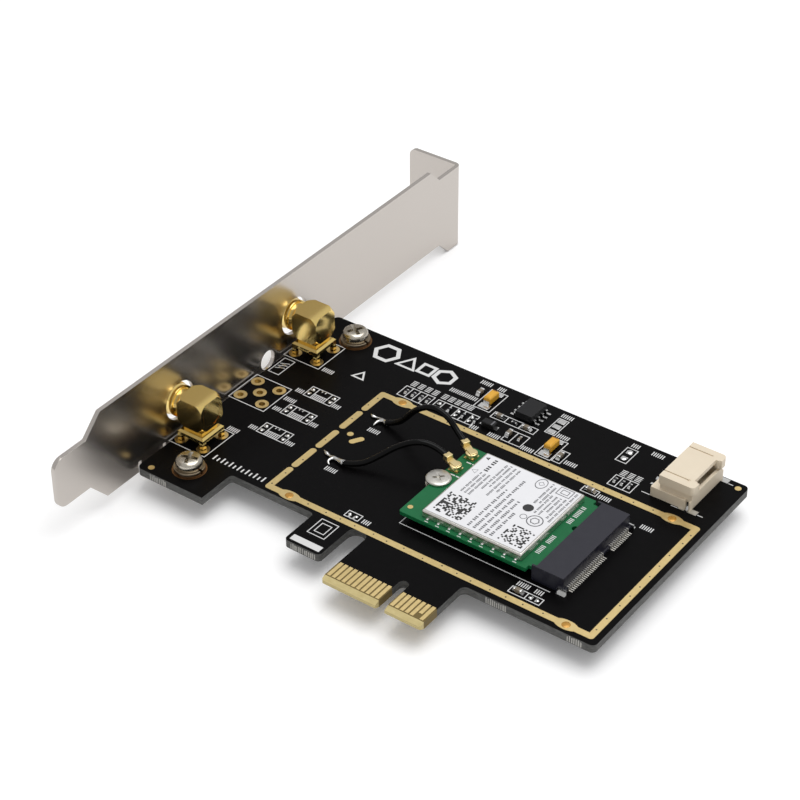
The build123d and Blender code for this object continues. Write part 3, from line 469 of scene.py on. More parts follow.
def stitch(x0, y0, x1, y1, pitch):
    """Adds a row of via places with the drill's small wander"""
    length = math.dist((x0, y0), (x1, y1))
    count = int(length / pitch)
    for i in range(count):
        share = (i + 0.5 + random.uniform(-0.15, 0.15)) / count
        off = random.uniform(-0.2, 0.2)
        x, y = x0 + (x1 - x0) * share + off * (x0 == x1), y0 + (y1 - y0) * share + off * (y0 == y1)
        via_places.append(at(x, y, via_face))


stitch(-27.5, 9.0, 24.5, 9.0, 3.4)
stitch(-27.5, 42.45, 24.5, 42.45, 3.0)
stitch(32.0, 9.6, 32.0, 42.2, 3.1)
for y0, y1 in ((8.6, 14.8), (16.4, 21.5), (23.3, 28.1), (30.3, 35.2), (37.0, 42.6)):
    stitch(-34.45, y0, -34.45, y1, 2.6)
via = turned([(0, 0.0), (0.15, 0.0), (0.15, 0.010), (0.11, 0.012), (0, 0.012)], 12)
repeated("fence_vias", via, via_places, via_painted_shade, "gold")
amber_resin = grained("amber_resin", (0.42, 0.20, 0.03), (0.60, 0.32, 0.06), (0.2, 0.35), 0.4, scale=1500)
plug = turned([(0, -0.1), (0.42, -0.1), (0.44, 0.0), (0.78, 0.004), (0.7, 0.05), (0, 0.07)], 28)
plug_places = [at(x, y, plug_face) for x in (-29.95, 27.25) for y in (9.0, 42.45)]
repeated("hole_plugs", plug, plug_places, amber_resin, "gold")


# Printed outlines. Opaque white ink is screened over the mask: a box round each part, rows of plain
# ticks beside it, and a few plain shapes.
def ink_line(bm, points, low=0.0, width=0.17, thick=0.012):
    """Straight strokes through the points, each a little thicker so that no two tops share a plane"""
    for k, ((x0, y0), (x1, y1)) in enumerate(zip(points, points[1:])):
        length = math.dist((x0, y0), (x1, y1))
        ux, uy = (x1 - x0) / length * width / 2, (y1 - y0) / length * width / 2
        corners = [(x0 - ux + uy, y0 - uy - ux), (x1 + ux + uy, y1 + uy - ux),
                   (x1 + ux - uy, y1 + uy + ux), (x0 - ux - uy, y0 - uy + ux)]
        prism(bm, corners, low, low + thick + 0.002 * (k % 3))


def ink_box(bm, x0, x1, y0, y1, splits=(), low=0.0, width=0.17):
    """An outline, split across at each given x"""
    ink_line(bm, [(x0, y0), (x1, y0), (x1, y1), (x0, y1), (x0, y0 + width)], low, width)
    for x in splits:
        ink_line(bm, [(x, y0), (x, y1)], low, width, 0.018)


def ink_ring(bm, x, y, radius, sides, turn=0.0, low=0.0, width=0.17, squash=1.0):
    """A closed band with that many straight sides, and no hole where its width fills its radius"""
    level_points = []
    for high in (low, low + 0.014):
        for r in (radius + width / 2, max(radius - width / 2, 0.02)):
            angles = [math.radians(turn) + 2 * math.pi * i / sides for i in range(sides)]
            level_points.append([bm.verts.new(at(x + r * math.cos(a), y + squash * r * math.sin(a), high))
                                 for a in angles])
    outer_low, inner_low, outer, inner = level_points
    for i in range(sides):
        j = (i + 1) % sides
        bm.faces.new((inner[i], outer[i], outer[j], inner[j]))
        bm.faces.new((inner_low[j], outer_low[j], outer_low[i], inner_low[i]))
        bm.faces.new((outer_low[i], outer_low[j], outer[j], outer[i]))
        bm.faces.new((inner_low[j], inner_low[i], inner[i], inner[j]))


def ink_ticks(bm, x, y, count, along=(1, 0), pitch=0.86, tall=0.95, low=0.0):
    """A short row of plain upright strokes, two to each place"""
    ax, ay = along
    for i in range(2 * count):
        px, py = x + ax * pitch * i / 2, y + ay * pitch * i / 2
        ink_line(bm, [(px, py), (px - ay * tall, py + ax * tall)], low, 0.2)


ink_white = grained("ink_white", (0.58, 0.58, 0.58), (0.74, 0.74, 0.73), (0.6, 0.8), scale=3000, level=0.3)
ink = bmesh.new()
for y in (12.9, 29.6, 45.95):
    ink_box(ink, -57.2, -48.98, y - 4.17, y + 4.17)
for y in (33.8, 27.0, 20.1):
    ink_box(ink, -46.35, -40.15, y, y + 3.1, splits=(-44.75, -41.8))
    ink_line(ink, [(-44.75, y + 1.35), (-41.8, y + 1.35)])
    ink_ticks(ink, -44.4, y + 0.15, 3)
    ink_ticks(ink, -48.2, y + 0.1, 2)
    ink_ticks(ink, -39.7, y + 0.1, 2)
ink_box(ink, -32.45, -26.0, 44.05, 47.25, splits=(-30.85, -29.2, -27.6))
ink_box(ink, -25.15, -16.0, 44.1, 47.15, splits=(-23.6, -22.05, -20.5, -18.9, -17.4))
for x in (-32.1, -30.5, -28.9, -27.3, -25.2, -23.7, -22.2, -20.7, -19.4):
    ink_ticks(ink, x + 1.0, 47.9, 2, along=(0, 1))
ink_ticks(ink, -25.2, 50.7, 7)
ink_box(ink, -19.0, -15.46, 49.3, 55.5)
ink_box(ink, -2.0, 1.27, 43.8, 49.9)
ink_box(ink, 1.5, 3.2, 44.05, 47.6)
ink_box(ink, -9.2, -5.2, 43.9, 47.3, splits=(-7.6,))
ink_box(ink, -14.6, -5.3, 48.4, 50.2, splits=(-11.6, -8.5))
ink_box(ink, 10.5, 12.7, 50.9, 55.2)
ink_box(ink, 13.0, 17.6, 44.2, 47.3, splits=(14.5, 16.1))
ink_box(ink, 10.2, 13.3, 39.9, 41.4)
ink_box(ink, 14.9, 21.05, 10.35, 11.95, splits=(18.1,))
ink_box(ink, -19.0, -16.1, 10.3, 11.9)
ink_box(ink, -56.3, -53.9, 36.0, 41.0)
for y in (37.6, 38.4, 39.2):
    ink_line(ink, [(-55.9, y), (-54.3, y + 0.7)])
ink_box(ink, -4.1, -2.0, 50.4, 55.3)
ink_line(ink, [(-10.0, 16.0), (-10.0, 14.2), (20.65, 14.2)])
for points in ([(19.1, 45.9), (20.6, 45.9)], [(25.2, 45.55), (28.6, 45.55)], [(30.3, 45.85), (31.2, 45.85)],
               [(30.3, 56.6), (31.1, 56.6)]):
    ink_line(ink, points)
for x, y, count in ((-48.2, 41.9, 3), (-48.3, 30.6, 3), (-51.0, 17.5, 3), (-15.3, 10.4, 2), (-29.6, 18.5, 3),
                    (-30.2, 32.0, 3), (-21.9, 56.0, 3), (-18.1, 56.0, 2), (-4.1, 55.9, 3), (-1.5, 50.4, 3),
                    (-11.9, 43.5, 3), (-4.8, 43.7, 3), (3.8, 44.6, 3), (-15.8, 43.5, 2), (10.9, 55.8, 2),
                    (15.1, 55.8, 3), (13.8, 39.9, 3), (24.0, 37.2, 3), (15.2, 12.6, 3), (18.7, 12.6, 2)):
    ink_ticks(ink, x, y, count)
for x in (14.4, 15.9, 17.4):
    ink_ticks(ink, x, 47.8, 2, along=(0, 1))
for i in range(13):
    ink_line(ink, [(-47.4 + 0.92 * i, 9.3), (-47.4 + 0.92 * i, 10.4 - 0.45 * (i % 2))], width=0.3)
ink_ring(ink, -41.6, 53.5, 2.5, 6, width=0.95)
ink_ring(ink, -36.3, 52.9, 2.2, 3, turn=90, width=1.0)
ink_ring(ink, -32.4, 53.5, 1.9, 4, turn=45, width=0.9)
ink_ring(ink, -28.3, 53.5, 2.1, 6, turn=30, width=0.9)
ink_ring(ink, -41.4, 44.6, 1.4, 3, turn=90, width=0.7)
ink_box(ink, -21.4, -17.8, 3.1, 7.3)
ink_box(ink, -20.6, -18.6, 4.0, 6.4)
brick(ink, -22.7, -16.5, -0.1, 1.3, 0.0, 0.014)
placed(mesh_from(ink, "printed_outlines"), "printed_outlines", ink_white, "board")


# Solder on the pads. The oven leaves a low shining dome or slab of solder on each pad that carries no
# part, and a slab past each end of the tantalum capacitors.
solder_bright = grained("solder_bright", (0.66, 0.66, 0.65), (0.82, 0.82, 0.81), (0.16, 0.30), 1.0, scale=700)
dome = turned([(0, 0), (0.33, 0), (0.32, 0.05), (0.25, 0.11), (0.13, 0.145), (0, 0.155)], 14)
pad_face = 0.04
dome_places = [at(x, y + side * 0.75, pad_face) for x in (-45.7, -40.8) for y in (35.4, 28.6, 21.6)
               for side in (-1, 1)]
dome_places += [at(x, 45.6 + side * 0.72, pad_face) for x in (-24.3, -20.1, -17.1) for side in (-1, 1)]
dome_places += [at(x, y, pad_face) for x, y in ((-18.3, 11.1), (-16.9, 11.1), (18.9, 11.15), (20.3, 11.15))]
repeated("pad_domes", dome, dome_places, solder_bright, "solder")
wide_dome = turned([(0, 0), (0.6, 0), (0.58, 0.07), (0.42, 0.15), (0.2, 0.19), (0, 0.2)], 20)
wide_places = [at(11.6, 54.1, pad_face), at(11.65, 52.0, pad_face)]
repeated("wide_pad_domes", wide_dome, wide_places, solder_bright, "solder")
slab_height = 0.13
bm = bmesh.new()
for x, y, across, along in ((-3.05, 54.5, 0.78, 0.56), (-3.05, 52.8, 0.78, 0.56), (-3.05, 51.1, 0.78, 0.56),
                            (-17.2, 50.35, 1.1, 0.72), (-17.2, 54.75, 1.1, 0.5), (-0.45, 44.85, 1.1, 0.72),
                            (-0.45, 49.25, 1.1, 0.5)):
    brick(bm, x - across, x + across, y - along, y + along, 0.0, slab_height)
placed(edges_broken(mesh_from(bm, "pad_slabs"), "pad_slabs", 0.09), "pad_slabs", solder_bright, "solder")


# Bracket screws. Two plated steel pan heads with a cross recess clamp the board to the bracket's
# tabs, each over a dark split lock washer.
def cut_away(mesh, name, bm):
    """The mesh less the closed form in bm"""
    cutter = bpy.data.objects.new(name + "_cutter", mesh_from(bm, name + "_cutter"))
    bpy.context.scene.collection.objects.link(cutter)
    mesh = baked(mesh, name, ("BOOLEAN", {"operation": "DIFFERENCE", "solver": "EXACT", "object": cutter}))
    bpy.data.objects.remove(cutter)
    return mesh


def cross_recess(mesh, name, place, depth, span, turn):
    """Cuts a tapered cross into a head whose top is at the place"""
    bm = bmesh.new()
    half = 0.2
    outline = []
    for k in range(4):
        outline += [(k, 1.0, -half), (k, 1.0, half), (k, half, half)]
    levels = []
    for high, wide, thick in ((0.3, span, 1.0), (-depth, span * 0.45, 0.55)):
        ring = []
        for k, along, across in outline:
            reach = wide * along if along == 1.0 else span * half * thick
            side = span * across * thick
            angle = math.radians(turn + 90 * k)
            x = (reach * math.cos(angle) - side * math.sin(angle)) / 1000
            y = (reach * math.sin(angle) + side * math.cos(angle)) / 1000
            ring.append(bm.verts.new((x, y, high / 1000)))
        levels.append(ring)
    top, under = levels
    bm.faces.new(top)
    bm.faces.new(under[::-1])
    for i in range(len(top)):
        j = (i + 1) % len(top)
        bm.faces.new((under[i], under[j], top[j], top[i]))
    bmesh.ops.recalc_face_normals(bm, faces=bm.faces)
    bm.transform(Matrix.Translation(place))
    return cut_away(mesh, name, bm)


def joined(meshes, name):
    """Several meshes as one"""
    bm = bmesh.new()
    for mesh in meshes:
        bm.from_mesh(mesh)
    return mesh_from(bm, name)


screw_steel = grained("screw_steel", (0.42, 0.385, 0.32), (0.62, 0.58, 0.50), (0.20, 0.30), 1.0, scale=1500,
                      relief=0.00001)
tip = (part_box("bracket_screws")[0].z - at(0, 0).z) * 1000
screw_x, screw_pitch, thread_end, head_top = -48.9, 0.5, 0.6, 2.66
heads = []
for y, turn in ((4.6, 20), (53.25, 58)):
    profile = [(0, tip), (1.1, tip)]
    z = tip + 0.2
    while z < thread_end:
        profile += [(1.22, z), (1.46, z + 0.22)]
        z += screw_pitch
    profile += [(1.45, 0.85), (2.36, 0.86), (2.44, 0.98), (2.46, 1.75), (2.4, 2.1), (2.2, 2.4), (1.8, 2.57),
                (1.0, 2.65), (0, head_top)]
    head = turned(profile, 48)
    head.transform(Matrix.Translation(at(screw_x, y)))
    heads.append(cross_recess(head, "screw_head", at(screw_x, y, head_top), 1.2, 1.9, turn))
placed(joined(heads, "cross_head_screws"), "cross_head_screws", screw_steel, "screw_steel", "bracket_screws")
washer_steel = grained("washer_steel", (0.20, 0.16, 0.11), (0.36, 0.30, 0.22), (0.25, 0.4), 1.0, scale=1200)
softened("split_washers", "bracket_screw_washers", 0.08, washer_steel, "screw_steel")


# Antenna jacks. Each is machined from brass bar and gold plated: a squared block on a soldered base,
# and a barrel with a 36 turn per inch thread that passes through the bracket. The block is the CAD
# piece up to where its barrel starts, and the threaded barrel is drawn from there.
jack_gold = grained("jack_gold", (0.94, 0.70, 0.24), (0.97, 0.73, 0.27), (0.13, 0.15), 1.0, scale=260)
thread_pitch, thread_depth, thread_radius = 0.7056, 0.36, 3.175
barrel_start, barrel_end, end_radius, neck_end, neck_radius = -58.2, -64.5, 2.825, -58.61, 3.0
bore_lip, bore_floor, lip_radius, bore_radius = -64.35, -60.9, 2.45, 2.3
block_end = -58.3


def threaded_barrel(y, z, around=40, steps=92):
    """The barrel along X with its thread, its neck, its chamfered end and its bore"""
    bm = bmesh.new()
    angles = [2 * math.pi * i / around for i in range(around)]
    rings = [[bm.verts.new(at(barrel_start, y, z))]]
    for k in range(steps + 1):
        x = barrel_start + (barrel_end - barrel_start) * k / steps
        limit = min(neck_radius if x > neck_end else thread_radius, end_radius + (x - barrel_end))
        ring = []
        for i, angle in enumerate(angles):
            turn = (x / thread_pitch + i / around) % 1
            radius = min(limit, thread_radius - thread_depth * (1 - abs(2 * turn - 1)) + 0.06)
            ring.append(bm.verts.new(at(x, y + radius * math.cos(angle), z + radius * math.sin(angle))))
        rings.append(ring)
    for x, radius in ((barrel_end, lip_radius), (bore_lip, bore_radius), (bore_floor, bore_radius)):
        rings.append([bm.verts.new(at(x, y + radius * math.cos(a), z + radius * math.sin(a)))
                      for a in angles])
    rings.append([bm.verts.new(at(bore_floor, y, z))])
    skinned(bm, rings, around)
    return mesh_from(bm, "barrel")


for name, y, z in (("lower", 12.9, 6.35), ("upper", 45.95, 6.65)):
    body = merged(f"{name}_jack_body")
    bmesh.ops.bisect_plane(body, geom=body.verts[:] + body.edges[:] + body.faces[:], dist=1e-7,
                           plane_co=at(block_end, y, z), plane_no=(1, 0, 0), clear_inner=True)
    bmesh.ops.bridge_loops(body, edges=[e for e in body.edges if e.is_boundary])
    bmesh.ops.recalc_face_normals(body, faces=body.faces)
    block = edges_broken(mesh_from(body, "jack_block"), "jack_block", 0.13)
    placed(joined([block, threaded_barrel(y, z)], f"{name}_jack"), f"{name}_jack", jack_gold, "jack_gold",
           f"{name}_jack_body", sharp=50)
    dress(f"{name}_jack_rear_cap", jack_gold)
    dress(f"{name}_jack_centre_contact", jack_gold)
ptfe_white = grained("ptfe_white", (0.76, 0.76, 0.74), (0.84, 0.84, 0.82), (0.5, 0.65))
for name in ("lower_jack_insulator", "upper_jack_insulator"):
    dress(name, ptfe_white)


# Hand soldered joints. The jacks' legs are soldered under the board and the leads' ends on top of it,
# and the set solder is lumpy and bright.
def lumpy(name, node, amount, made, slot_name):
    """A CAD piece drawn again with an uneven skin, pushed by up to the amount in millimetres"""
    bm = bmesh.new()
    bm.from_mesh(nodes[node].data)
    bmesh.ops.remove_doubles(bm, verts=bm.verts, dist=1e-6)
    bmesh.ops.subdivide_edges(bm, edges=[e for e in bm.edges if e.calc_length() > 0.00035], cuts=2,
                              use_grid_fill=True)
    bmesh.ops.triangulate(bm, faces=bm.faces)
    bm.normal_update()
    for v in bm.verts:
        push = mathutils_noise.noise(v.co * 1900) * 0.6 + mathutils_noise.noise(v.co * 700)
        v.co += v.normal * push * amount / 1000
    return placed(mesh_from(bm, name), name, made, slot_name, node, sharp=80)


joint_solder = grained("joint_solder", (0.62, 0.62, 0.61), (0.80, 0.80, 0.79), (0.14, 0.30), 1.0, scale=500)
lumpy("jack_joints", "antenna_solder_joints", 0.10, joint_solder, "solder")


def strand(bm, points, around=10):
    """A closed round strand through (x, y, z, radius) points in card millimetres"""
    rings = []
    for k, (x, y, z, radius) in enumerate(points):
        before, after = Vector(points[max(k - 1, 0)][:3]), Vector(points[min(k + 1, len(points) - 1)][:3])
        ahead = (after - before).normalized()
        side = ahead.cross(Vector((0, 0, 1))).normalized()
        up = side.cross(ahead)
        ring = []
        for i in range(around):
            angle = 2 * math.pi * i / around
            rim = Vector((x, y, z)) + radius * (math.cos(angle) * side + math.sin(angle) * up)
            ring.append(bm.verts.new(at(*rim)))
        rings.append(ring)
    bm.faces.new(rings[0])
    bm.faces.new(rings[-1][::-1])
    for one, other in zip(rings, rings[1:]):
        for i in range(around):
            j = (i + 1) % around
            bm.faces.new((one[j], one[i], other[i], other[j]))


strands = bmesh.new()
strand(strands, [(-32.65, 36.2, 0.1, 0.05), (-32.1, 35.9, 0.25, 0.25), (-31.63, 35.6, 0.3, 0.42),
                 (-31.1, 35.75, 0.25, 0.2), (-30.5, 35.8, 0.35, 0.14), (-29.6, 35.65, 0.5, 0.3),
                 (-28.9, 35.4, 0.5, 0.42), (-28.3, 35.2, 0.62, 0.62), (-27.75, 35.15, 0.74, 0.65),
                 (-27.5, 35.15, 0.78, 0.4)])
strand(strands, [(-30.1, 33.6, 0.1, 0.1), (-30.1, 34.2, 0.25, 0.3), (-29.9, 34.9, 0.4, 0.36),
                 (-29.4, 35.35, 0.5, 0.38), (-28.6, 35.3, 0.6, 0.42), (-28.0, 35.2, 0.6, 0.3)])
strand(strands, [(-33.0, 22.8, 0.1, 0.05), (-32.4, 22.35, 0.25, 0.2), (-31.74, 22.0, 0.3, 0.45),
                 (-31.1, 21.8, 0.25, 0.22), (-30.5, 21.7, 0.35, 0.25), (-29.8, 21.6, 0.45, 0.42),
                 (-29.0, 21.45, 0.5, 0.38), (-28.2, 21.3, 0.6, 0.5), (-27.5, 21.15, 0.68, 0.63),
                 (-27.0, 21.25, 0.72, 0.62), (-26.8, 21.3, 0.74, 0.35)])
strand(strands, [(-29.5, 19.9, 0.1, 0.08), (-29.9, 20.0, 0.2, 0.2), (-30.2, 20.35, 0.28, 0.28),
                 (-30.2, 20.95, 0.35, 0.32), (-29.9, 21.45, 0.4, 0.36), (-29.2, 21.6, 0.4, 0.2)])
smooth_strands = baked(mesh_from(strands, "lead_joints"), "lead_joints", ("SUBSURF", {"levels": 2}))
placed(smooth_strands, "lead_joints", joint_solder, "solder", "coax_solder_joints", sharp=80)


# Radio socket. Black glass filled nylon, a row of stamped contacts with their feet soldered behind it
# and a bright hold-down at each end.
socket_nylon = grained("socket_nylon", (0.011, 0.011, 0.019), (0.016, 0.016, 0.026), (0.30, 0.36), level=0.45)
softened("socket_shell", "m2_socket_housing", 0.07, socket_nylon, "socket_black")
contact_plating = grained("contact_plating", (0.80, 0.78, 0.72), (0.92, 0.90, 0.85), (0.4, 0.5), 1.0)
dress("m2_socket_contacts", contact_plating)
dress("m2_socket_hold_downs", solder_bright)


# Radio module. A thin green board with a drawn steel can soldered over the chips. Two gold
# receptacles hold the plugs of the leads, each a cap with a strap and a crimped sleeve.
module_green = grained("module_green", (0.004, 0.105, 0.034), (0.008, 0.150, 0.050), (0.28, 0.4), scale=800,
                       level=0.25)
softened("module_panel", "wifi_module_board", 0.05, module_green, "module_green", steps=1)
can_plate = grained("can_plate", (0.60, 0.585, 0.54), (0.72, 0.70, 0.66), (0.25, 0.36), 1.0, scale=700,
                    relief=0.00001)
softened("shield_can", "module_shield_can", 0.3, can_plate, "can_steel", steps=3)
module_top, seam_pitch, seam_count = 2.4, 2.25, 9
module_marks = bmesh.new()
for y, count in ((30.6, 3), (28.6, 2), (22.2, 3), (19.0, 3), (33.2, 1)):
    ink_ticks(module_marks, 15.3, y, count, along=(0, 1), pitch=0.8, tall=0.7, low=module_top)
for i in range(seam_count):
    x = seam_pitch * i - 5.1
    ink_line(module_marks, [(x, 14.75), (x + 0.6, 14.75)], module_top, 0.16)
for x, y in ((-8.5, 32.3), (-7.3, 32.3), (-8.9, 27.9), (-7.7, 27.9)):
    ink_line(module_marks, [(x, y), (x + 0.7, y)], module_top, 0.28)
placed(mesh_from(module_marks, "module_marks"), "module_marks", ink_white, "module_green")
seam = turned([(0, 0), (0.27, 0), (0.24, 0.08), (0.14, 0.14), (0, 0.16)], 12)
seam_places = [at(seam_pitch * i - 5.0, y, module_top) for i in range(seam_count) for y in (15.42, 35.24)]
eyelet = turned([(0, 0.0), (0.5, 0.0), (0.5, 0.03), (0.2, 0.035), (0.19, 0.01), (0, 0.01)], 20)
repeated("module_eyelets", eyelet, [at(-9.3, 16.4, module_top)], pad_gold, "module_green")
repeated("can_seam_solder", seam, seam_places, solder_bright, "solder")
plug_gold = grained("plug_gold", (0.78, 0.62, 0.30), (0.86, 0.72, 0.40), (0.30, 0.38), 1.0, scale=600)
dress("coax_receptacles", plug_gold)


def from_centre(x, y, z):
    """A place in millimetres from the middle of a plug"""
    return Vector((x / 1000, y / 1000, z / 1000))


for name, centre, tip in (("upper", (-8.7, 33.9), (-11.2, 35.2)), ("lower", (-9.0, 29.45), (-11.45, 30.1))):
    reach = math.dist(centre, tip)
    bm = bmesh.new()
    for x0, x1, half, z0, z1 in ((-0.85, reach - 0.5, 0.62, 3.45, 3.78), (1.0, reach - 0.4, 0.74, 3.0, 3.7),
                                 (reach - 1.05, reach + 0.12, 0.7, 3.28, 4.5)):
        brick(bm, x0, x1, -half, half, z0, z1, from_centre)
    strap = edges_broken(mesh_from(bm, "strap"), "strap", 0.12)
    cap = turned([(0, 2.72), (1.04, 2.72), (1.1, 2.8), (1.12, 3.42), (1.06, 3.54), (0.9, 3.6), (0, 3.6)], 32)
    bm = bmesh.new()
    bm.from_mesh(strap)
    bm.from_mesh(cap)
    angle = math.atan2(tip[1] - centre[1], tip[0] - centre[0])
    bm.transform(Matrix.Translation(at(*centre)) @ Matrix.Rotation(angle, 4, "Z"))
    placed(mesh_from(bm, f"{name}_plug"), f"{name}_plug", plug_gold, "gold", f"coax_plug_{name}")


# Module label. White coated paper over the can, printed in black and grey with plain bars, rings
# and two squares of random dots.
label_paper = grained("label_paper", (0.74, 0.74, 0.76), (0.80, 0.80, 0.82), (0.45, 0.6), scale=500,
                      level=0.35)
dress("module_label", label_paper)
label_top, print_top = 3.93, 3.938
ink_grey = grained("ink_grey", (0.09, 0.09, 0.10), (0.17, 0.17, 0.18), (0.5, 0.7), scale=3000)
ink_black = grained("ink_black", (0.012, 0.012, 0.013), (0.03, 0.03, 0.03), (0.5, 0.7), scale=3000)
random.seed(21)
fine_print, dark_print = bmesh.new(), bmesh.new()


def print_row(bm, x, y0, y1, wide, bar, gap):
    """A row of small upright bars along Y, in uneven groups"""
    y = y0
    while y < y1:
        for _ in range(random.randint(2, 7)):
            if y + bar > y1:
                return
            half = wide / 2 * random.uniform(0.6, 1.0)
            brick(bm, x - half, x + half, y, y + bar, label_top, print_top)
            y += bar + gap
        y += bar


for x, y1 in ((2.5, 28.4), (3.7, 32.3), (4.85, 27.2), (6.0, 26.9), (7.1, 24.0)):
    print_row(fine_print, x, 16.6, y1, 0.62, 0.30, 0.16)
for x, y0, y1 in ((-3.75, 23.5, 30.0), (-2.95, 23.5, 30.0), (-2.15, 23.5, 30.0), (-1.2, 26.1, 34.2),
                  (-0.4, 27.3, 34.3), (0.55, 25.1, 34.2), (1.45, 26.8, 34.2), (8.25, 28.1, 34.4),
                  (9.05, 28.6, 33.8), (9.75, 25.9, 31.9), (10.6, 25.9, 31.9), (11.4, 27.3, 31.9),
                  (12.25, 25.9, 31.9), (13.05, 25.2, 34.4)):
    print_row(fine_print, x, y0, y1, 0.5, 0.22, 0.12)
print_row(dark_print, -3.45, 30.5, 34.5, 0.95, 0.34, 0.24)
for x0, y0, side, cells in ((-5.0, 16.65, 5.75, 17), (8.4, 16.65, 4.75, 14)):
    cell = side / cells
    for i in range(cells):
        for j in range(cells):
            if random.random() < 0.5:
                x, y = x0 + i * cell, y0 + j * cell
                brick(dark_print, x, x + cell, y, y + cell, label_top, print_top)
ink_ring(fine_print, 11.05, 24.1, 1.4, 28, low=label_top, width=0.2)
ink_ring(fine_print, 11.05, 24.1, 0.8, 6, low=label_top, width=0.2)
ink_ring(fine_print, 8.8, 24.0, 0.6, 20, low=label_top, width=0.12)
ink_ring(fine_print, 6.45, 33.2, 1.0, 28, low=label_top, width=0.14, squash=1.35)
ink_ring(fine_print, 6.45, 33.2, 0.55, 4, low=label_top, width=0.12)
ink_ring(dark_print, 8.2, 26.4, 0.5, 20, low=label_top, width=0.96)
ink_box(fine_print, 9.75, 12.4, 32.5, 34.5, low=label_top, width=0.16)
ink_box(fine_print, 10.4, 11.8, 33.0, 34.0, low=label_top, width=0.14)
ink_ring(dark_print, -5.0, 33.7, 0.3, 3, turn=180, low=label_top, width=0.4)
ink_ring(fine_print, -4.95, 29.5, 0.65, 3, turn=180, low=label_top, width=0.12)
placed(mesh_from(fine_print, "label_fine_print"), "label_fine_print", ink_grey, "label")
placed(mesh_from(dark_print, "label_dark_print"), "label_dark_print", ink_black, "label")


# Module screw. One low steel head with a cross recess holds the free end of the module down on a
# brass standoff that is pressed into the board.
module_screw_steel = grained("module_screw_steel", (0.58, 0.56, 0.51), (0.70, 0.68, 0.63), (0.26, 0.36), 1.0,
                             scale=1800, relief=0.00001)
tip, top = [(corner.z - at(0, 0).z) * 1000 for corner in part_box("module_screw")]
screw_x, screw_y = -9.8, 25.45
head = turned([(0, tip), (0.8, tip), (0.95, tip + 0.15), (0.95, top - 0.61), (2.2, top - 0.6),
               (2.3, top - 0.5), (2.3, top - 0.22), (2.18, top - 0.08), (1.95, top), (0, top)], 48)
head.transform(Matrix.Translation(at(screw_x, screw_y)))
head = cross_recess(head, "module_screw_head", at(screw_x, screw_y, top), 0.5, 1.35, 45)
placed(head, "module_cross_screw", module_screw_steel, "nickel", "module_screw")
dress("module_standoff", grained("standoff_brass", (0.60, 0.55, 0.46), (0.70, 0.65, 0.56), (0.3, 0.4), 1.0))


# Coaxial leads. Thin black coax with a smooth jacket, crimped in the plugs and soldered to the board
# at the other end.
lead_jacket = grained("lead_jacket", (0.0015, 0.0015, 0.0015), (0.003, 0.003, 0.003), (0.16, 0.20),
                      scale=1200, level=0.13)
lead_radius = 0.565
lead_routes = {
    "upper": ((-11.2, 35.2, 3.95), (-13.2, 36.1, 4.6), (-15.7, 36.5, 6.9), (-19.0, 36.3, 7.7),
              (-22.1, 35.8, 6.0), (-24.2, 35.6, 3.2), (-26.0, 35.4, 1.4), (-28.2, 35.1, 0.7)),
    "lower": ((-11.45, 30.1, 3.95), (-13.7, 30.4, 4.7), (-16.8, 29.2, 5.3), (-20.0, 27.2, 4.0),
              (-22.6, 24.5, 1.9), (-24.7, 22.1, 0.8), (-27.4, 21.1, 0.7)),
}
for name, route in lead_routes.items():
    curve = bpy.data.curves.new(f"{name}_lead", "CURVE")
    curve.dimensions = "3D"
    curve.bevel_depth = lead_radius / 1000
    curve.bevel_resolution = 4
    curve.use_fill_caps = True
    curve.resolution_u = 12
    spline = curve.splines.new("NURBS")
    spline.points.add(len(route) - 1)
    for point, place in zip(spline.points, route):
        point.co = (*at(*place), 1)
    spline.order_u = 3
    spline.use_endpoint_u = True
    curve.materials.append(lead_jacket)
    lead = bpy.data.objects.new(f"{name}_lead", curve)
    bpy.context.scene.collection.objects.link(lead)
    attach(lead, "root")
    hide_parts(f"coax_lead_{name}")


# Side entry header. Moulded ivory nylon with a latch cover, four tinned pins and a tinned land at
# each end.
ivory_nylon = grained("ivory_nylon", (0.70, 0.60, 0.455), (0.77, 0.675, 0.53), (0.38, 0.5), scale=600,
                      level=0.4)
bm = bmesh.new()
brick(bm, 28.1, 29.6, 47.9, 55.2, 3.2, 5.4)
brick(bm, 23.0, 27.2, 46.0, 46.5, 4.22, 4.36)
brick(bm, 27.05, 27.45, 47.1, 47.75, 5.05, 5.4)
shell = cut_away(mesh_from(merged("header_housing"), "header_shell"), "header_shell", bm)
placed(edges_broken(shell, "header_shell", 0.10), "header_shell", ivory_nylon, "ivory", "header_housing")
for name in ("header_pins", "header_solder_tabs"):
    dress(name, solder_bright)


# Small parts. Moulded tantalum capacitors, the power chip and its diode, ceramic capacitors and thick
# film resistors, all soldered by their plated ends.
tantalum_resin = grained("tantalum_resin", (0.62, 0.30, 0.018), (0.78, 0.42, 0.035), (0.32, 0.45), scale=1500)
softened("tantalum_blocks", "tantalum_capacitors", 0.10, tantalum_resin, "tantalum")
chip_resin = grained("chip_resin", (0.0055, 0.0055, 0.006), (0.011, 0.011, 0.012), (0.4, 0.55), scale=1800,
                     level=0.25)
softened("regulator_block", "regulator_body", 0.06, chip_resin, "chip_black")
softened("diode_block", "diode_body", 0.06, chip_resin, "chip_black")
ceramic_body = grained("ceramic_body", (0.13, 0.105, 0.075), (0.23, 0.19, 0.14), (0.4, 0.5), scale=1500)
softened("ceramic_blocks", "ceramic_capacitors", 0.05, ceramic_body, "ceramic")
resistor_glaze = grained("resistor_glaze", (0.008, 0.008, 0.010), (0.022, 0.022, 0.026), (0.2, 0.3),
                         scale=1500)
dress("chip_resistors", resistor_glaze)
softened("plated_ends", "chip_terminals", 0.05, solder_bright, "solder")
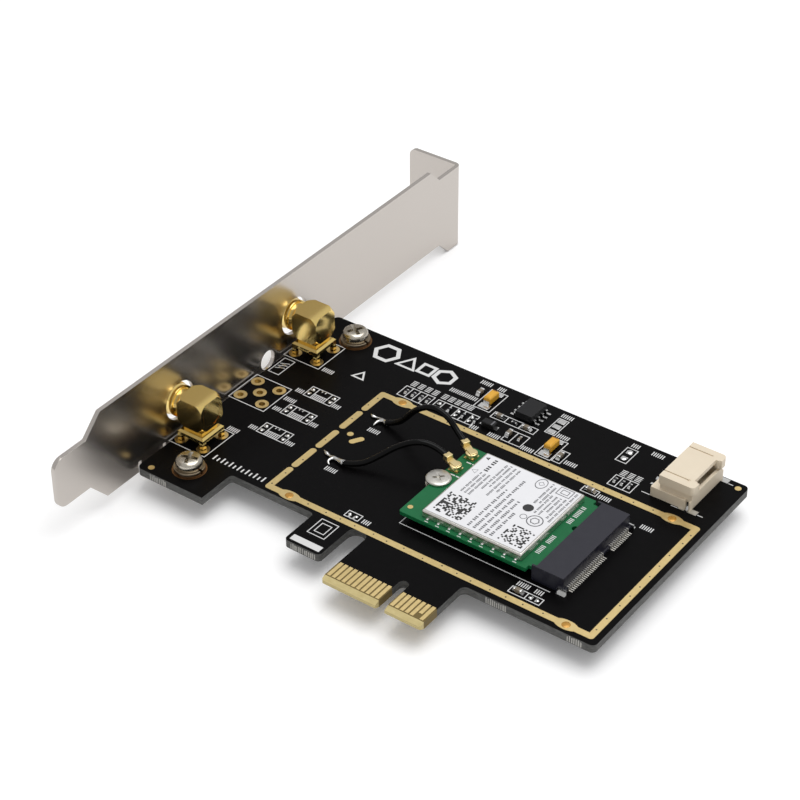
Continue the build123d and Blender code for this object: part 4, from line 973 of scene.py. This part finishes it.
for name in ("tantalum_terminals", "regulator_leads", "diode_terminals"):
    dress(name, solder_bright)


def fillet(bm, x, y, ux, uy, half, reach, height):
    """The hollow slope of solder from a part's end down to its pad"""
    profile = ((0, 0.03), (reach, 0.03), (reach * 0.45, 0.03 + height * 0.28), (0, height))
    sides = []
    for side in (half, -half):
        sides.append([bm.verts.new(at(x + ux * out - uy * side, y + uy * out + ux * side, up))
                      for out, up in profile])
    one, other = sides
    bm.faces.new(one)
    bm.faces.new(other[::-1])
    for i in range(4):
        j = (i + 1) % 4
        bm.faces.new((one[j], one[i], other[i], other[j]))


slopes = bmesh.new()
large, small, case = (1.6, 0.8, 0.6), (1.0, 0.5, 0.33), (3.2, 1.2, 0.8)
chips = [(2.3, 45.8, large, "y"), (-8.8, 46.0, large, "y"), (-6.4, 45.9, small, "y"),
         (-13.1, 49.2, large, "x"), (-7.2, 49.1, large, "x"), (16.4, 11.15, large, "x"),
         (11.75, 40.65, large, "x"), (-20.1, 53.3, large, "y"), (-17.2, 52.6, case, "y"),
         (-0.45, 47.1, case, "y"), (-9.9, 49.2, small, "x")]
chips += [(x, 45.6, small, "y") for x in (-31.3, -29.7, -28.0, -26.5, -21.7, -18.6, -15.9)]
chips += [(x, 45.75, small, "y") for x in (13.8, 15.3, 16.8)]
for x, y, (length, width, height), along in chips:
    for end in (-1, 1):
        ux, uy = (end, 0) if along == "x" else (0, end)
        fillet(slopes, x + ux * length / 2, y + uy * length / 2, ux, uy, width * 0.5, width * 0.42, height)
bmesh.ops.recalc_face_normals(slopes, faces=slopes.faces)
placed(mesh_from(slopes, "solder_fillets"), "solder_fillets", solder_bright, "solder", sharp=35)


# Marks on the parts. A pale printed band shows the diode's end, and a darker stripe the positive end
# of each tantalum capacitor.
diode_top, tantalum_top = 1.15, 1.6
band = bmesh.new()
brick(band, -12.35, -12.05, 45.15, 46.45, diode_top, diode_top + 0.008)
placed(mesh_from(band, "diode_band"), "diode_band", ink_grey, "chip_black")
stripes = bmesh.new()
for x, y in ((-17.2, 52.6), (-0.45, 47.1)):
    brick(stripes, x - 0.48, x + 0.48, y + 0.95, y + 1.2, tantalum_top, tantalum_top + 0.007)
stripe_brown = grained("stripe_brown", (0.20, 0.08, 0.01), (0.30, 0.13, 0.02), (0.4, 0.5), scale=1500)
placed(mesh_from(stripes, "tantalum_stripes"), "tantalum_stripes", stripe_brown, "tantalum")
